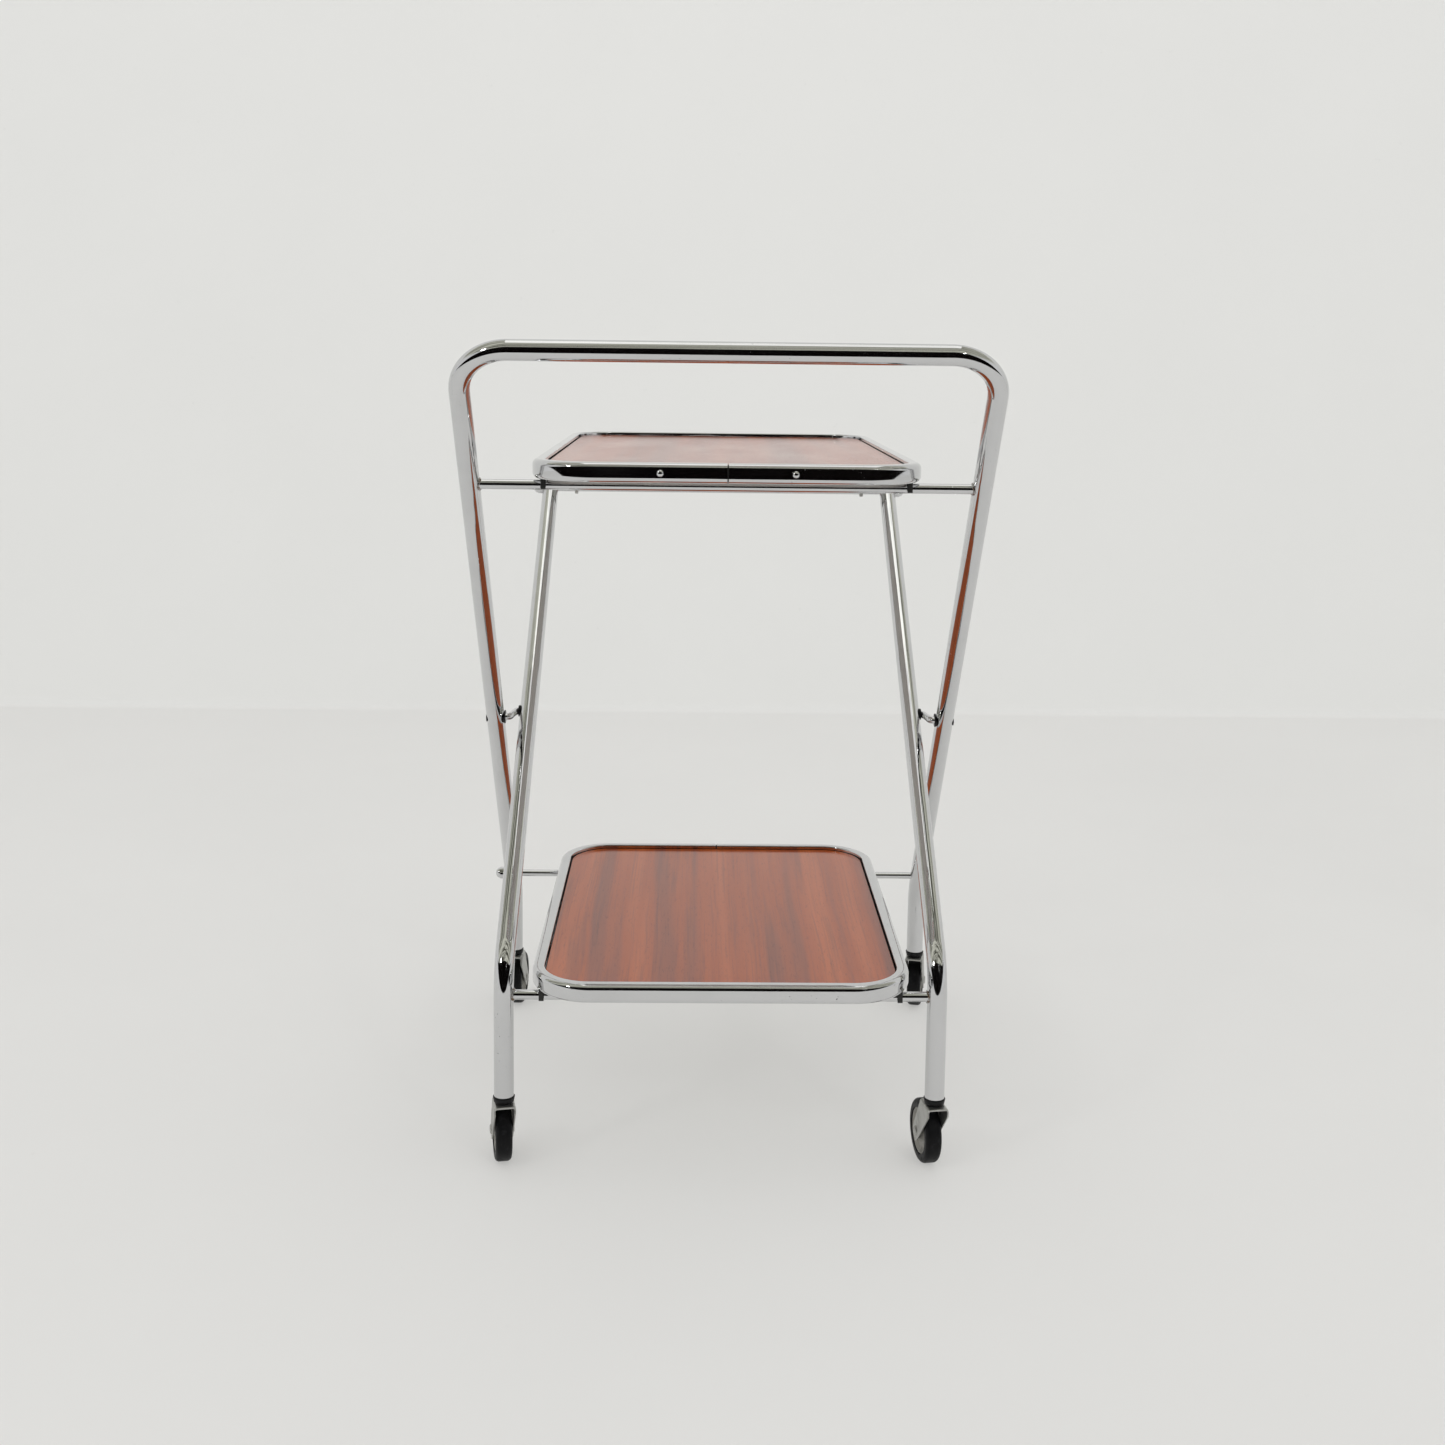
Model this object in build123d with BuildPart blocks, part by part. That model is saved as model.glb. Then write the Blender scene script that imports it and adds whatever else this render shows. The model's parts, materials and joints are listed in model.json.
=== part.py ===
# Folding serving trolley: two crossed tube frames, two trays that lift as the frames close,
# and four swivel castors. Millimetres, +Z up; the handle is on the -Y side.
# The origin is on the floor, under the middle of the trolley's outline.
from build123d import *
import os
from math import cos, radians, tan

os.makedirs("parts", exist_ok=True)

# Frame tube and how the two frames stand
TUBE_D = 20.0
TUBE_WALL = 1.4
OUTER_SPACING = 502.0
LEG_GAP = 14.0
OUTER_LEAN = 36.0
INNER_LEAN = 50.8
PIVOT_HEIGHT = 417.0
PIVOT_CRANK = 30.0
HANDLE_HEIGHT = 824.0
HANDLE_CORNER_R = 48.0
INNER_TOP_HEIGHT = 660.0
OUTER_FOOT_BEND_HEIGHT = 159.0
INNER_FOOT_BEND_HEIGHT = 210.0
FOOT_BEND_R = 64.0
TUBE_END_HEIGHT = 80.0
LEG_CAP_T = 3.0
LEG_CAP_ROUND = 2.0
LEG_CAP_PLUG_L = 12.0

# Crossbars, hinge rods and pivots
CROSSBAR_D = 10.0
HINGE_ROD_D = 8.0
HINGE_ROD_SETBACK = 20.0
LOWER_ROD_DROP = 10.0
NUT_FLATS = 13.0
NUT_HEX_H = 6.0
NUT_DOME_H = 5.0
NUT_WALL_AT_END = 2.0
PIVOT_PIN_D = 8.0
PIVOT_BEND_R = 5.0
BUSH_D = 11.0
BUSH_FLANGE_D = 15.0
BUSH_FLANGE_T = 1.2
COLLAR_D = 13.0
COLLAR_T = 1.5

# Trays
TRAY_SIDE_GAP = 17.5
TOP_TRAY_L = 600.0
LOWER_TRAY_L = 473.0
TOP_TRAY_HEIGHT = 720.0
LOWER_TRAY_HEIGHT = 211.0
TRAY_CORNER_R = 50.0
TOP_OVERHANG = 61.0
LOWER_OVERHANG = 42.0
RIM_W = 12.0
RIM_H = 19.0
RIM_WALL = 1.2
RIM_OUTER_ROUND = 5.5
RIM_INNER_ROUND = 1.6
RIM_SEAM = 0.3
BOARD_T = 5.0
BOARD_INSET = 4.5
SPLICE_L = 160.0
RIVET_SPACING = 128.0
RIVET_D = 4.0
RIVET_HEAD_D = 9.0
RIVET_HEAD_H = 2.6
CLIP_T = 1.5
CLIP_W = 22.0
CLIP_REACH = 15.0
CLIP_FOOT_LIFT = 2.0
SCREW_D = 3.0
SCREW_HEAD_D = 6.0
SCREW_HEAD_H = 1.8
SCREW_BITE = 3.5
BRACKET_T = 2.0
LUG_T = 4.0
LUG_EYE_D = 14.0
LUG_FOOT_L = 34.0
CATCH_L = 30.0
CATCH_LIP_DROP = 9.0

# Castors
WHEEL_D = 64.0
WHEEL_W = 17.0
HUB_D = 46.0
HUB_W = 15.0
HUB_BOSS_D = 16.0
HUB_WEB_T = 9.0
TYRE_ROUND = 4.5
TRAIL = 26.0
AXLE_D = 6.0
AXLE_HEAD_D = 10.0
AXLE_HEAD_H = 1.6
FORK_INNER_W = 18.6
FORK_PLATE_T = 1.6
FORK_TOP_T = 2.0
FORK_TOP_L = 28.5
FORK_EYE_D = 18.0
FORK_TIP_DROP = 9.0
FORK_TIP_R = 2.0
FORK_SHOULDER_H = 9.0
SOCKET_COLLAR_H = 7.0
STEM_D = 8.0
STEM_LENGTH = 36.0
STEM_HEAD_D = 12.0
STEM_HEAD_H = 1.6
SOCKET_COLLAR_D = 22.0
SOCKET_PLUG_L = 36.0
NEAR_LEFT_SWIVEL = 11.0
NEAR_RIGHT_SWIVEL = 9.0
FAR_LEFT_SWIVEL = -4.0
FAR_RIGHT_SWIVEL = -12.0

# Fits
RUNNING_FIT = 0.05
LOOSE_FIT = 0.1
REST_GAP = 0.3
BOARD_GAP = 0.3
SWIVEL_GAP = 0.4

# Heights worked out from the trays
top_rim_bottom = TOP_TRAY_HEIGHT - RIM_H
lower_rim_bottom = LOWER_TRAY_HEIGHT - RIM_H
seat_drop = BRACKET_T + REST_GAP + CROSSBAR_D / 2
handle_bar_z = top_rim_bottom - seat_drop
inner_bar_z = lower_rim_bottom - seat_drop
lower_rod_z = lower_rim_bottom - LOWER_ROD_DROP

# Where the legs run, seen from the side
tube_r = TUBE_D / 2
outer_slope = tan(radians(OUTER_LEAN))
inner_slope = tan(radians(INNER_LEAN))
near_reach = (HANDLE_HEIGHT - PIVOT_HEIGHT) * outer_slope + tube_r
far_reach = TOP_TRAY_L - TOP_OVERHANG - (handle_bar_z - PIVOT_HEIGHT) * outer_slope
pivot_y = (near_reach - far_reach) / 2


def outer_y(z):
    """Y of an outer leg's centreline at a height."""
    return pivot_y - (z - PIVOT_HEIGHT) * outer_slope


def inner_y(z):
    """Y of an inner leg's centreline at a height."""
    return pivot_y + PIVOT_CRANK + (z - PIVOT_HEIGHT) * inner_slope


outer_x = OUTER_SPACING / 2
inner_x = outer_x - TUBE_D - LEG_GAP
handle_y = outer_y(HANDLE_HEIGHT)
far_foot_y = outer_y(OUTER_FOOT_BEND_HEIGHT)
near_foot_y = inner_y(INNER_FOOT_BEND_HEIGHT)
inner_top_y = inner_y(INNER_TOP_HEIGHT)
upper_rod_z = INNER_TOP_HEIGHT - HINGE_ROD_SETBACK * cos(radians(INNER_LEAN))
upper_rod_y = inner_y(upper_rod_z)
lower_rod_y = outer_y(lower_rod_z)
handle_bar_y = outer_y(handle_bar_z)


def write(piece, label):
    """Labels a finished piece and writes its STEP file."""
    piece.part.label = label
    export_step(piece.part, f"parts/{label}.step")


def leg_route(x, foot_y, bend_z, top_y, top_z):
    """The corners of a leg's centreline, from its foot up."""
    return [(x, foot_y, TUBE_END_HEIGHT), (x, foot_y, bend_z), (x, top_y, top_z)]


def bent_bar(corners, radii, outer_r, bore_r=0):
    """A round bar or tube along straight runs joined by tangent arcs."""
    with BuildPart() as bar:
        with BuildLine() as route:
            FilletPolyline(*corners, radius=radii)
        start = Plane(origin=route.line @ 0, z_dir=route.line % 0)
        with BuildSketch(start):
            Circle(outer_r)
            if bore_r:
                Circle(bore_r, mode=Mode.SUBTRACT)
        sweep(path=route.line)
    return bar


left_route, right_route = (
    leg_route(side * outer_x, far_foot_y, OUTER_FOOT_BEND_HEIGHT, handle_y, HANDLE_HEIGHT)
    for side in (-1, 1)
)
outer_corners = left_route + right_route[::-1]
outer_radii = [FOOT_BEND_R, HANDLE_CORNER_R, HANDLE_CORNER_R, FOOT_BEND_R]
tube_bore_r = tube_r - TUBE_WALL
outer_envelope = bent_bar(outer_corners, outer_radii, tube_r)


def inner_leg_bar(side, bore_r=0):
    """One inner leg as a bent bar or, with a bore, a tube."""
    route = leg_route(side * inner_x, near_foot_y, INNER_FOOT_BEND_HEIGHT, inner_top_y, INNER_TOP_HEIGHT)
    return bent_bar(route, [FOOT_BEND_R], tube_r, bore_r)


with BuildPart() as inner_envelope:
    for side in (-1, 1):
        add(inner_leg_bar(side).part)

# Cranked pivot pins: a stub along X in the outer leg, then an arm back to the inner leg
bush_face_x = outer_x - tube_r - BUSH_FLANGE_T
crank_start_x = bush_face_x - REST_GAP - PIVOT_PIN_D / 2
crank_end_x = inner_x + tube_r + PIVOT_PIN_D / 2
pin_y = pivot_y + PIVOT_CRANK


def pivot_pin(side):
    """The pin on one side, welded into the inner leg and turning in the outer leg's bush."""
    corners = [
        (side * (outer_x + tube_r), pivot_y, PIVOT_HEIGHT),
        (side * crank_start_x, pivot_y, PIVOT_HEIGHT),
        (side * crank_end_x, pin_y, PIVOT_HEIGHT),
        (side * inner_x, pin_y, PIVOT_HEIGHT),
    ]
    return bent_bar(corners, [PIVOT_BEND_R, PIVOT_BEND_R], PIVOT_PIN_D / 2)


sides = {"left": -1, "right": 1}
pins = {side_name: pivot_pin(side) for side_name, side in sides.items()}
for side_name, pin in pins.items():
    write(pin, f"pivot_pin_{side_name}")

# Outer frame: one tube, whose top is the handle
with BuildPart() as handle_frame:
    add(bent_bar(outer_corners, outer_radii, tube_r, tube_bore_r).part)
    with BuildSketch(Plane.YZ):
        with Locations((pivot_y, PIVOT_HEIGHT)):
            Circle(BUSH_D / 2)
        with Locations((lower_rod_y, lower_rod_z)):
            Circle(HINGE_ROD_D / 2 + LOOSE_FIT)
    extrude(amount=outer_x + TUBE_D, both=True, mode=Mode.SUBTRACT)
write(handle_frame, "handle_frame")

# Inner frame: two legs, which end under the top tray and are held apart by a crossbar and a hinge rod
for side_name, side in sides.items():
    with BuildPart() as inner_leg:
        add(inner_leg_bar(side, tube_bore_r).part)
        with BuildSketch(Plane.YZ):
            with Locations((upper_rod_y, upper_rod_z)):
                Circle(HINGE_ROD_D / 2 + LOOSE_FIT)
        extrude(amount=inner_x + TUBE_D, both=True, mode=Mode.SUBTRACT)
        add(pins[side_name].part, mode=Mode.SUBTRACT)
    write(inner_leg, f"inner_leg_{side_name}")

# Rounded plastic caps close the inner legs' tops
with BuildPart() as leg_caps:
    for side in (-1, 1):
        tube_end = Plane(origin=(side * inner_x, inner_top_y, INNER_TOP_HEIGHT), z_dir=(0, inner_slope, 1))
        with BuildSketch(tube_end):
            Circle(tube_r)
        extrude(amount=LEG_CAP_T)
        along_leg = Axis(tube_end.origin, tube_end.z_dir)
        crowns = edges().filter_by(GeomType.CIRCLE).filter_by(lambda edge: edge.arc_center.X * side > 0)
        fillet(crowns.group_by(along_leg)[-1], LEG_CAP_ROUND)
        with BuildSketch(tube_end):
            Circle(tube_bore_r - RUNNING_FIT)
        extrude(amount=-LEG_CAP_PLUG_L)
write(leg_caps, "inner_leg_caps")


def crossbar(half, y, z, envelope):
    """A round bar between a frame's legs, its ends shaped to the tubes they are welded to."""
    with BuildPart() as bar:
        with BuildSketch(Plane.YZ):
            with Locations((y, z)):
                Circle(CROSSBAR_D / 2)
        extrude(amount=half, both=True)
        add(envelope.part, mode=Mode.SUBTRACT)
    return bar


write(crossbar(outer_x, handle_bar_y, handle_bar_z, outer_envelope), "handle_crossbar")
write(crossbar(inner_x, near_foot_y, inner_bar_z, inner_envelope), "inner_crossbar")

# Hinge rods run through a frame's legs and end in domed cap nuts
nut_depth = NUT_HEX_H + NUT_DOME_H - NUT_WALL_AT_END
nut_r = NUT_FLATS / 2


def hinge_rod(half, y, z):
    """The rod that a tray swings on."""
    with BuildPart() as rod:
        with BuildSketch(Plane.YZ):
            with Locations((y, z)):
                Circle(HINGE_ROD_D / 2)
        extrude(amount=half + tube_r + nut_depth - REST_GAP, both=True)
    return rod


def dome_profile(seat, base_r, height):
    """Half the outline of a round cap that rises from a plane, to be turned about its normal."""
    cap_r = (base_r**2 + height**2) / (2 * height)
    with BuildSketch(Plane(origin=seat.origin, x_dir=seat.x_dir, z_dir=-seat.y_dir)) as profile:
        with BuildLine():
            Line((0, 0), (base_r, 0))
            RadiusArc((base_r, 0), (0, height), -cap_r)
            Line((0, height), (0, 0))
        make_face()
    return profile.sketch


def cap_nuts(half, y, z):
    """Two domed nuts, one outside each leg, each with a blind bore."""
    with BuildPart() as nuts:
        for side in (-1, 1):
            seat = Plane(origin=(side * (half + tube_r), y, z), x_dir=(0, side, 0), z_dir=(side, 0, 0))
            with BuildSketch(seat):
                RegularPolygon(nut_r, side_count=6, major_radius=False)
            extrude(amount=NUT_HEX_H)
            crown = seat.offset(NUT_HEX_H)
            revolve(dome_profile(crown, nut_r, NUT_DOME_H), axis=Axis(crown.origin, crown.z_dir))
            with BuildSketch(seat):
                Circle(HINGE_ROD_D / 2 + RUNNING_FIT)
            extrude(amount=nut_depth, mode=Mode.SUBTRACT)
    return nuts


write(hinge_rod(outer_x, lower_rod_y, lower_rod_z), "lower_hinge_rod")
write(cap_nuts(outer_x, lower_rod_y, lower_rod_z), "lower_hinge_nuts")
write(hinge_rod(inner_x, upper_rod_y, upper_rod_z), "upper_hinge_rod")
write(cap_nuts(inner_x, upper_rod_y, upper_rod_z), "upper_hinge_nuts")

# Flanged plastic bushes line the outer legs' pivot holes
with BuildPart() as pivot_bushes:
    for side in (-1, 1):
        inner_face = Plane(origin=(side * bush_face_x, pivot_y, PIVOT_HEIGHT), z_dir=(side, 0, 0))
        with BuildSketch(inner_face):
            Circle(BUSH_FLANGE_D / 2)
        extrude(amount=BUSH_FLANGE_T)
        with BuildSketch(inner_face):
            Circle(BUSH_D / 2)
        extrude(amount=BUSH_FLANGE_T + TUBE_D)
        with BuildSketch(inner_face):
            Circle(PIVOT_PIN_D / 2 + RUNNING_FIT)
        extrude(amount=BUSH_FLANGE_T + TUBE_D, mode=Mode.SUBTRACT)
write(pivot_bushes, "pivot_bushes")

# Collars round the pins where they enter the inner legs
with BuildPart() as pivot_collars:
    for side in (-1, 1):
        outer_face = Plane(
            origin=(side * (inner_x + tube_r + COLLAR_T), pin_y, PIVOT_HEIGHT), z_dir=(-side, 0, 0)
        )
        with BuildSketch(outer_face):
            Circle(COLLAR_D / 2)
        extrude(amount=COLLAR_T + tube_r / 2)
    add(inner_envelope.part, mode=Mode.SUBTRACT)
    for pin in pins.values():
        add(pin.part, mode=Mode.SUBTRACT)
write(pivot_collars, "pivot_collars")

# Trays
board_r = TRAY_CORNER_R - RIM_W - BOARD_GAP
rim_line_r = TRAY_CORNER_R - RIM_W / 2
half_w = inner_x - tube_r - TRAY_SIDE_GAP
tray_w = 2 * half_w
side_rim_x = half_w - RIM_W / 2


def tray_rim(seam, length):
    """The chromed rim: one hollow section bent round, its ends meeting at a seam."""
    half_l = length / 2 - RIM_W / 2
    with BuildPart() as rim:
        with BuildLine(seam) as route:
            FilletPolyline(
                (RIM_SEAM / 2, -half_l), (side_rim_x, -half_l), (side_rim_x, half_l),
                (-side_rim_x, half_l), (-side_rim_x, -half_l), (-RIM_SEAM / 2, -half_l),
                radius=rim_line_r,
            )
        with BuildSketch(Plane(origin=route.line @ 0, x_dir=-seam.y_dir, z_dir=route.line % 0)):
            Rectangle(RIM_W, RIM_H)
            fillet(vertices().group_by(Axis.X)[-1], RIM_OUTER_ROUND)
            fillet(vertices().group_by(Axis.X)[0], RIM_INNER_ROUND)
            offset(amount=-RIM_WALL, mode=Mode.SUBTRACT)
        sweep(path=route.line)
        for face in rivet_seats(seam, length):
            with BuildSketch(face):
                Circle(RIVET_D / 2 + RUNNING_FIT)
            extrude(amount=-RIM_W / 2, mode=Mode.SUBTRACT)
    return rim


def rivet_seats(seam, length):
    """Planes on the rim's outer face, facing outwards, where its two rivets sit."""
    return [
        Plane(
            origin=seam.from_local_coords((side * RIVET_SPACING / 2, -length / 2, 0)),
            x_dir=seam.x_dir, z_dir=-seam.y_dir,
        )
        for side in (-1, 1)
    ]


def rim_splice(seam, length):
    """The bar inside the rim that joins its two ends."""
    shrink = 2 * (RIM_WALL + LOOSE_FIT)
    start = seam.from_local_coords((-SPLICE_L / 2, -length / 2 + RIM_W / 2, 0))
    with BuildPart() as splice:
        with BuildSketch(Plane(origin=start, x_dir=-seam.y_dir, z_dir=seam.x_dir)):
            Rectangle(RIM_W - shrink, RIM_H - shrink)
            fillet(vertices().group_by(Axis.X)[-1], RIM_OUTER_ROUND - RIM_WALL)
            fillet(vertices().group_by(Axis.X)[0], RIM_INNER_ROUND - RIM_WALL)
        extrude(amount=SPLICE_L)
        for face in rivet_seats(seam, length):
            with BuildSketch(face):
                Circle(RIVET_D / 2 + RUNNING_FIT)
            extrude(amount=-RIM_W / 2, mode=Mode.SUBTRACT)
    return splice


def rim_rivets(seam, length):
    """Two round-headed rivets, driven from outside through the rim into the splice."""
    with BuildPart() as rivets:
        for face in rivet_seats(seam, length):
            head = dome_profile(face, RIVET_HEAD_D / 2, RIVET_HEAD_H)
            revolve(head, axis=Axis(face.origin, face.z_dir))
            with BuildSketch(face):
                Circle(RIVET_D / 2)
            extrude(amount=-RIM_W / 2)
    return rivets


def clip_places(middle, length):
    """Planes for the board's clips: at the rim's inner face, X outwards and Z along the rim."""
    x_in = half_w - RIM_W
    y_in = length / 2 - RIM_W
    z = middle.origin.Z
    places = []
    for side in (-1, 1):
        for along in (-1, 1):
            places.append(((side * x_in, middle.origin.Y + along * length / 4, z), (side, 0, 0)))
            places.append(((along * tray_w / 4, middle.origin.Y + side * y_in, z), (0, side, 0)))
    return [
        Plane(origin=place, x_dir=outward, z_dir=Vector(*outward).cross(Vector(0, 0, 1)))
        for place, outward in places
    ]


board_under = RIM_H / 2 - BOARD_INSET - BOARD_T
screw_inset = CLIP_REACH * 2 / 3


def tray_board(middle, length, clips):
    """The laminated board, flush all over, with pilot holes for its screws underneath."""
    with BuildPart() as board:
        with BuildSketch(middle.offset(board_under)):
            RectangleRounded(
                tray_w - 2 * (RIM_W + BOARD_GAP), length - 2 * (RIM_W + BOARD_GAP), board_r
            )
        extrude(amount=BOARD_T)
        for clip in clips:
            with BuildSketch(screw_seat(clip, board_under)):
                Circle(SCREW_D / 2)
            extrude(amount=SCREW_BITE, mode=Mode.SUBTRACT)
    return board


def screw_seat(clip, height):
    """An upward plane on a clip's screw line, at a height from the rim's middle."""
    lift = Vector(0, 0, height)
    return Plane(origin=clip.origin - clip.x_dir * screw_inset + lift, z_dir=(0, 0, 1))


def board_clips(clips):
    """Bent clips on the rim's inner face, which carry the board."""
    with BuildPart() as pieces:
        for clip in clips:
            # the section's own up direction is world up or down, so the sign is read from the plane
            up = clip.y_dir.Z
            top = board_under
            foot = -RIM_H / 2 + CLIP_FOOT_LIFT
            with BuildSketch(clip):
                with BuildLine():
                    Polyline(
                        (0, up * top), (-CLIP_REACH, up * top), (-CLIP_REACH, up * (top - CLIP_T)),
                        (-CLIP_T, up * (top - CLIP_T)), (-CLIP_T, up * foot), (0, up * foot),
                        close=True,
                    )
                make_face()
            extrude(amount=CLIP_W / 2, both=True)
            with BuildSketch(screw_seat(clip, board_under)):
                Circle(SCREW_D / 2 + LOOSE_FIT)
            extrude(amount=-CLIP_T, mode=Mode.SUBTRACT)
    return pieces


def board_screws(clips):
    """Pan-headed screws, up through the clips into the board."""
    with BuildPart() as screws:
        for clip in clips:
            seat = screw_seat(clip, board_under - CLIP_T)
            with BuildSketch(seat):
                Circle(SCREW_HEAD_D / 2)
            extrude(amount=-SCREW_HEAD_H)
            with BuildSketch(seat):
                Circle(SCREW_D / 2 - RUNNING_FIT)
            extrude(amount=CLIP_T + SCREW_BITE)
    return screws


def tray_lug(side, rod_y, rod_z, rim_bottom):
    """The hanging eye plate under one side of the rim, with a foot against it."""
    plate = Plane(origin=(side * side_rim_x - LUG_T / 2, 0, 0), x_dir=(0, 1, 0), z_dir=(1, 0, 0))
    with BuildPart() as lug:
        with BuildSketch(plate):
            with Locations((rod_y, rod_z)):
                Circle(LUG_EYE_D / 2)
            with Locations((rod_y, rim_bottom - BRACKET_T / 2)):
                Rectangle(LUG_FOOT_L * 2 / 3, BRACKET_T)
            make_hull()
            with Locations((rod_y, rod_z)):
                Circle(HINGE_ROD_D / 2 + RUNNING_FIT, mode=Mode.SUBTRACT)
        extrude(amount=LUG_T)
        with BuildSketch(Plane.XY.offset(rim_bottom)):
            with Locations((side * side_rim_x, rod_y)):
                RectangleRounded(RIM_W, LUG_FOOT_L, RIM_INNER_ROUND)
        extrude(amount=-BRACKET_T)
        rod_hole = Plane(origin=(side * side_rim_x, rod_y, rod_z), z_dir=(1, 0, 0))
        with BuildSketch(rod_hole):
            Circle(HINGE_ROD_D / 2 + RUNNING_FIT)
        extrude(amount=RIM_W, both=True, mode=Mode.SUBTRACT)
    return lug


def tray_catch(side, bar_y, bar_z, rim_bottom):
    """The seat under one side of the rim: it rests on the crossbar and hooks over its near side."""
    lip_face = bar_y - CROSSBAR_D / 2 - REST_GAP
    profile = Plane(origin=(side * side_rim_x, 0, 0), x_dir=(0, 1, 0), z_dir=(1, 0, 0))
    with BuildPart() as catch:
        with BuildSketch(profile):
            with BuildLine():
                Polyline(
                    (lip_face - BRACKET_T, rim_bottom), (lip_face - BRACKET_T + CATCH_L, rim_bottom),
                    (lip_face - BRACKET_T + CATCH_L, rim_bottom - BRACKET_T),
                    (lip_face, rim_bottom - BRACKET_T),
                    (lip_face, rim_bottom - BRACKET_T - CATCH_LIP_DROP),
                    (lip_face - BRACKET_T, rim_bottom - BRACKET_T - CATCH_LIP_DROP),
                    close=True,
                )
            make_face()
        extrude(amount=RIM_W / 2, both=True)
    return catch


def make_tray(name, height, near_y, length, seam_side, rod, bar):
    """Writes one tray's pieces. seam_side is -1 for a seam at the near end and 1 at the far end."""
    rim_bottom = height - RIM_H
    centre = (0, near_y + length / 2, height - RIM_H / 2)
    middle = Plane(origin=centre)
    seam = Plane(origin=centre, x_dir=(-seam_side, 0, 0), z_dir=(0, 0, 1))
    clips = clip_places(middle, length)
    write(tray_rim(seam, length), f"{name}_rim")
    write(rim_splice(seam, length), f"{name}_rim_splice")
    write(rim_rivets(seam, length), f"{name}_rim_rivets")
    write(tray_board(middle, length, clips), f"{name}_board")
    write(board_clips(clips), f"{name}_board_clips")
    write(board_screws(clips), f"{name}_board_screws")
    for side_name, side in sides.items():
        write(tray_lug(side, *rod, rim_bottom), f"{name}_lug_{side_name}")
        write(tray_catch(side, *bar, rim_bottom), f"{name}_catch_{side_name}")


make_tray(
    "top_tray", TOP_TRAY_HEIGHT, handle_bar_y - TOP_OVERHANG, TOP_TRAY_L, -1,
    (upper_rod_y, upper_rod_z), (handle_bar_y, handle_bar_z),
)
make_tray(
    "lower_tray", LOWER_TRAY_HEIGHT, near_foot_y - LOWER_OVERHANG, LOWER_TRAY_L, 1,
    (lower_rod_y, lower_rod_z), (near_foot_y, inner_bar_z),
)

# Castors
axle_z = WHEEL_D / 2
collar_bottom = TUBE_END_HEIGHT - SOCKET_COLLAR_H
plate_top = collar_bottom - SWIVEL_GAP
fork_outer_w = FORK_INNER_W + 2 * FORK_PLATE_T
stem_top = plate_top + STEM_LENGTH


def castor_socket(x, y):
    """The plastic plug in a leg's open end, with a collar under the tube and a bore for the stem."""
    with BuildPart() as socket:
        with BuildSketch(Plane(origin=(x, y, collar_bottom))):
            Circle(SOCKET_COLLAR_D / 2)
        extrude(amount=TUBE_END_HEIGHT - collar_bottom)
        fillet(edges().group_by(Axis.Z)[0], RIM_INNER_ROUND)
        with BuildSketch(Plane(origin=(x, y, TUBE_END_HEIGHT))):
            Circle(tube_bore_r - RUNNING_FIT)
        extrude(amount=SOCKET_PLUG_L)
        with BuildSketch(Plane(origin=(x, y, collar_bottom))):
            Circle(STEM_D / 2 + RUNNING_FIT)
        extrude(amount=stem_top + REST_GAP - collar_bottom, mode=Mode.SUBTRACT)
    return socket


def castor_fork(base, side_view):
    """The pressed fork: a top plate, and two side plates that narrow to a tip below the axle."""
    with BuildPart() as fork:
        with BuildSketch(side_view):
            with Locations((0, plate_top - FORK_SHOULDER_H / 2)):
                Rectangle(FORK_TOP_L, FORK_SHOULDER_H)
            with Locations((TRAIL, axle_z)):
                Circle(FORK_EYE_D / 2)
            with Locations((TRAIL, axle_z - FORK_TIP_DROP)):
                Circle(FORK_TIP_R)
            make_hull()
        extrude(amount=fork_outer_w / 2, both=True)
        with BuildSketch(base.offset(plate_top - FORK_TOP_T)):
            Rectangle(FORK_INNER_W, WHEEL_D * 2)
        extrude(amount=-WHEEL_D, mode=Mode.SUBTRACT)
        with BuildSketch(base.offset(plate_top)):
            Circle(STEM_D / 2)
        extrude(amount=-FORK_TOP_T, mode=Mode.SUBTRACT)
        with BuildSketch(side_view):
            with Locations((TRAIL, axle_z)):
                Circle(AXLE_D / 2 + RUNNING_FIT)
        extrude(amount=fork_outer_w, both=True, mode=Mode.SUBTRACT)
    return fork


def castor_stem(base):
    """The swivel stem, headed under the fork's top plate."""
    with BuildPart() as stem:
        with BuildSketch(base.offset(plate_top - FORK_TOP_T)):
            Circle(STEM_HEAD_D / 2)
        extrude(amount=-STEM_HEAD_H)
        with BuildSketch(base.offset(plate_top - FORK_TOP_T)):
            Circle(STEM_D / 2)
        extrude(amount=FORK_TOP_T + STEM_LENGTH)
        chamfer(edges().group_by(Axis.Z)[-1], STEM_HEAD_H / 2)
    return stem


def castor_axle(side_view):
    """The wheel's rivet, with a head outside each side plate."""
    with BuildPart() as axle:
        with BuildSketch(side_view):
            with Locations((TRAIL, axle_z)):
                Circle(AXLE_D / 2)
        extrude(amount=fork_outer_w / 2, both=True)
        for side in (-1, 1):
            with BuildSketch(side_view.offset(side * fork_outer_w / 2)):
                with Locations((TRAIL, axle_z)):
                    Circle(AXLE_HEAD_D / 2)
            extrude(amount=side * AXLE_HEAD_H)
        rims = edges().filter_by(GeomType.CIRCLE).group_by(Axis(side_view.origin, side_view.z_dir))
        fillet(rims[0] + rims[-1], AXLE_HEAD_H / 2)
    return axle


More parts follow.
